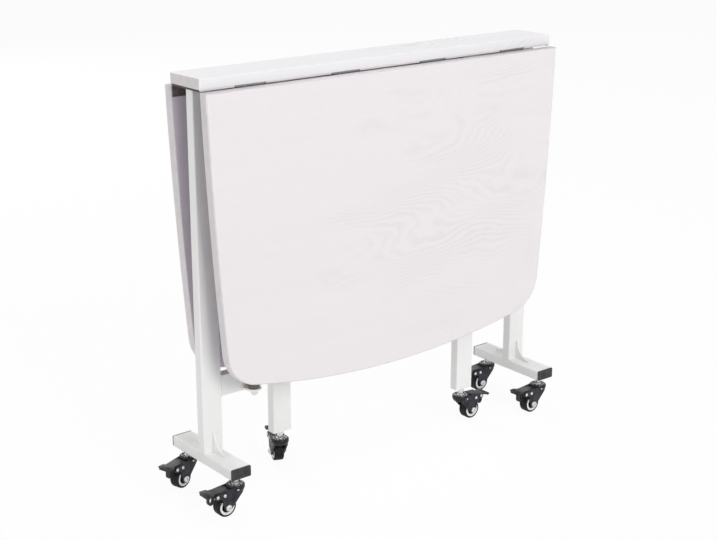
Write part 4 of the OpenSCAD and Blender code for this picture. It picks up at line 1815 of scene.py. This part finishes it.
@dataclass
class Studio:
    """Floor, lamps, world and camera.

    Attributes:
        ambient: Strength of the world's light.
        floor_size: Half of the floor's side.
        floor_tone: Colour of the floor.
        floor_shine: How white the floor is seen, the rest being its shadow.
        aim: What the lamps point at.
        lamps: Name, place, length of a side and share of full white of each lamp.
        sensor: Width of the camera's sensor in millimetres.
        lens: Its focal length in millimetres.
        spot: Where the camera stands.
        tilt: Camera's tilt from straight down, in degrees.
        pan: Camera's turn about Z, in degrees.
    """

    ambient: float = 0.38
    floor_size: float = 14.0
    floor_tone: Colour = (0.93, 0.93, 0.93, 1.0)
    floor_shine: float = 0.94
    aim: Point3 = (0.0, 0.0, 0.4)
    lamps: tuple[tuple[str, Point3, float, float], ...] = (
        ("key", (0.1, -5.8, 3.3), 3.0, 0.39),
        ("top", (0.4, -1.2, 4.6), 3.0, 0.26),
        ("side", (-6.4, 0.2, 2.2), 3.0, 0.17),
        ("rear", (0.3, 4.6, 2.2), 2.4, 0.36),
    )
    sensor: float = 36.0
    lens: float = 72.9
    spot: Point3 = (-1.6233, -2.0015, 1.1587)
    tilt: float = 72.68
    pan: float = -38.72

    def build(self) -> None:
        """Builds the whole studio."""
        self.build_floor()
        self.build_world()
        for lamp in self.lamps:
            self.build_lamp(*lamp)
        self.build_camera()

    def build_floor(self) -> None:
        """A plain pale floor that keeps a soft shadow."""
        work = bmesh.new()
        bmesh.ops.create_grid(work, x_segments=1, y_segments=1, size=self.floor_size)
        mesh = written(work, bpy.data.meshes.new("studio_floor"))
        floor = in_scene("studio_floor", mesh)
        s = Surface("studio_floor")
        seen = self.seen_rays(s)
        plain = s.node("ShaderNodeBsdfDiffuse", None, {"Color": self.floor_tone})
        white = s.node("ShaderNodeEmission", None, {"Color": WHITE, "Strength": 1.0})
        both = s.node(
            "ShaderNodeMixShader", None, {0: seen * self.floor_shine, 1: plain, 2: white}
        )
        s.node("ShaderNodeOutputMaterial", None, {"Surface": both})
        mesh.materials.append(s.material)
        floor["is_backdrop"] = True

    def build_world(self) -> None:
        """A white room: plain light, seen as white by the camera and in reflections."""
        world = bpy.data.worlds.new("studio")
        bpy.context.scene.world = world
        world.use_nodes = True
        graph = Graph(world.node_tree)
        graph.tree.nodes.clear()
        seen = self.seen_rays(graph)
        light = graph.node(
            "ShaderNodeBackground", None,
            {"Color": WHITE, "Strength": seen * (1.0 - self.ambient) + self.ambient},
        )
        graph.node("ShaderNodeOutputWorld", None, {"Surface": light})

    @staticmethod
    def seen_rays(graph: Graph) -> Socket:
        """1 for rays of the camera, of reflections and of refractions, 0 for others.

        Args:
            graph: The node tree that asks.

        Returns:
            The mask.
        """
        rays = [
            graph.node("ShaderNodeLightPath", output=name)
            for name in ("Is Camera Ray", "Is Glossy Ray", "Is Transmission Ray")
        ]
        return rays[0].maths("MAXIMUM", rays[1]).maths("MAXIMUM", rays[2])

    def build_lamp(self, name: str, spot: Point3, size: float, share: float) -> None:
        """A square softbox aimed at the table.

        Args:
            name: The lamp's name.
            spot: Where it stands.
            size: Length of its sides.
            share: Share of full white that it gives a white face turned towards it.
        """
        aim = Vector(self.aim) - Vector(spot)
        data = bpy.data.lights.new(name, "AREA")
        data.shape = "SQUARE"
        data.size = size
        data.energy = share * math.pi**2 * aim.length_squared
        lamp = in_scene(name, data)
        lamp.location = spot
        lamp.rotation_euler = aim.to_track_quat("-Z", "Y").to_euler()

    def build_camera(self) -> None:
        """The camera at the photograph's angle."""
        data = bpy.data.cameras.new("camera")
        data.sensor_fit = "HORIZONTAL"
        data.sensor_width = self.sensor
        data.lens = self.lens
        camera = in_scene("camera", data)
        camera.location = self.spot
        camera.rotation_euler = (math.radians(self.tilt), 0.0, math.radians(self.pan))
        bpy.context.scene.camera = camera
        bpy.context.scene.view_settings.view_transform = "Standard"


def write_sizes(visual: object) -> None:
    """Args:
        visual: What it gives before finishing; not used.
    """
    def plain(box: Iterable) -> list:
        """A box as nested lists of numbers."""
        return [[float(x) for x in corner] for corner in box]


def main() -> None:
    """Builds the table's looks in order."""
    logging.basicConfig(level=logging.INFO, format="%(message)s")
    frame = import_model()
    palette = Palette()
    shop = Workshop(frame["nodes"], palette)
    for look, names in NODE_LOOKS.items():
        for name in names:
            palette.dress_node(shop.nodes[name], look)
    for look, part in CASTER_LOOKS.items():
        for place in CASTERS:
            palette.dress_node(shop.nodes[f"{place.name}_{part}"], look)
    Boards(shop).build()
    for place in CASTERS:
        Caster(shop, place).build()
    Details(shop).build()
    Studio().build()
    write_sizes(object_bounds())


if __name__ == "__main__":
    main()
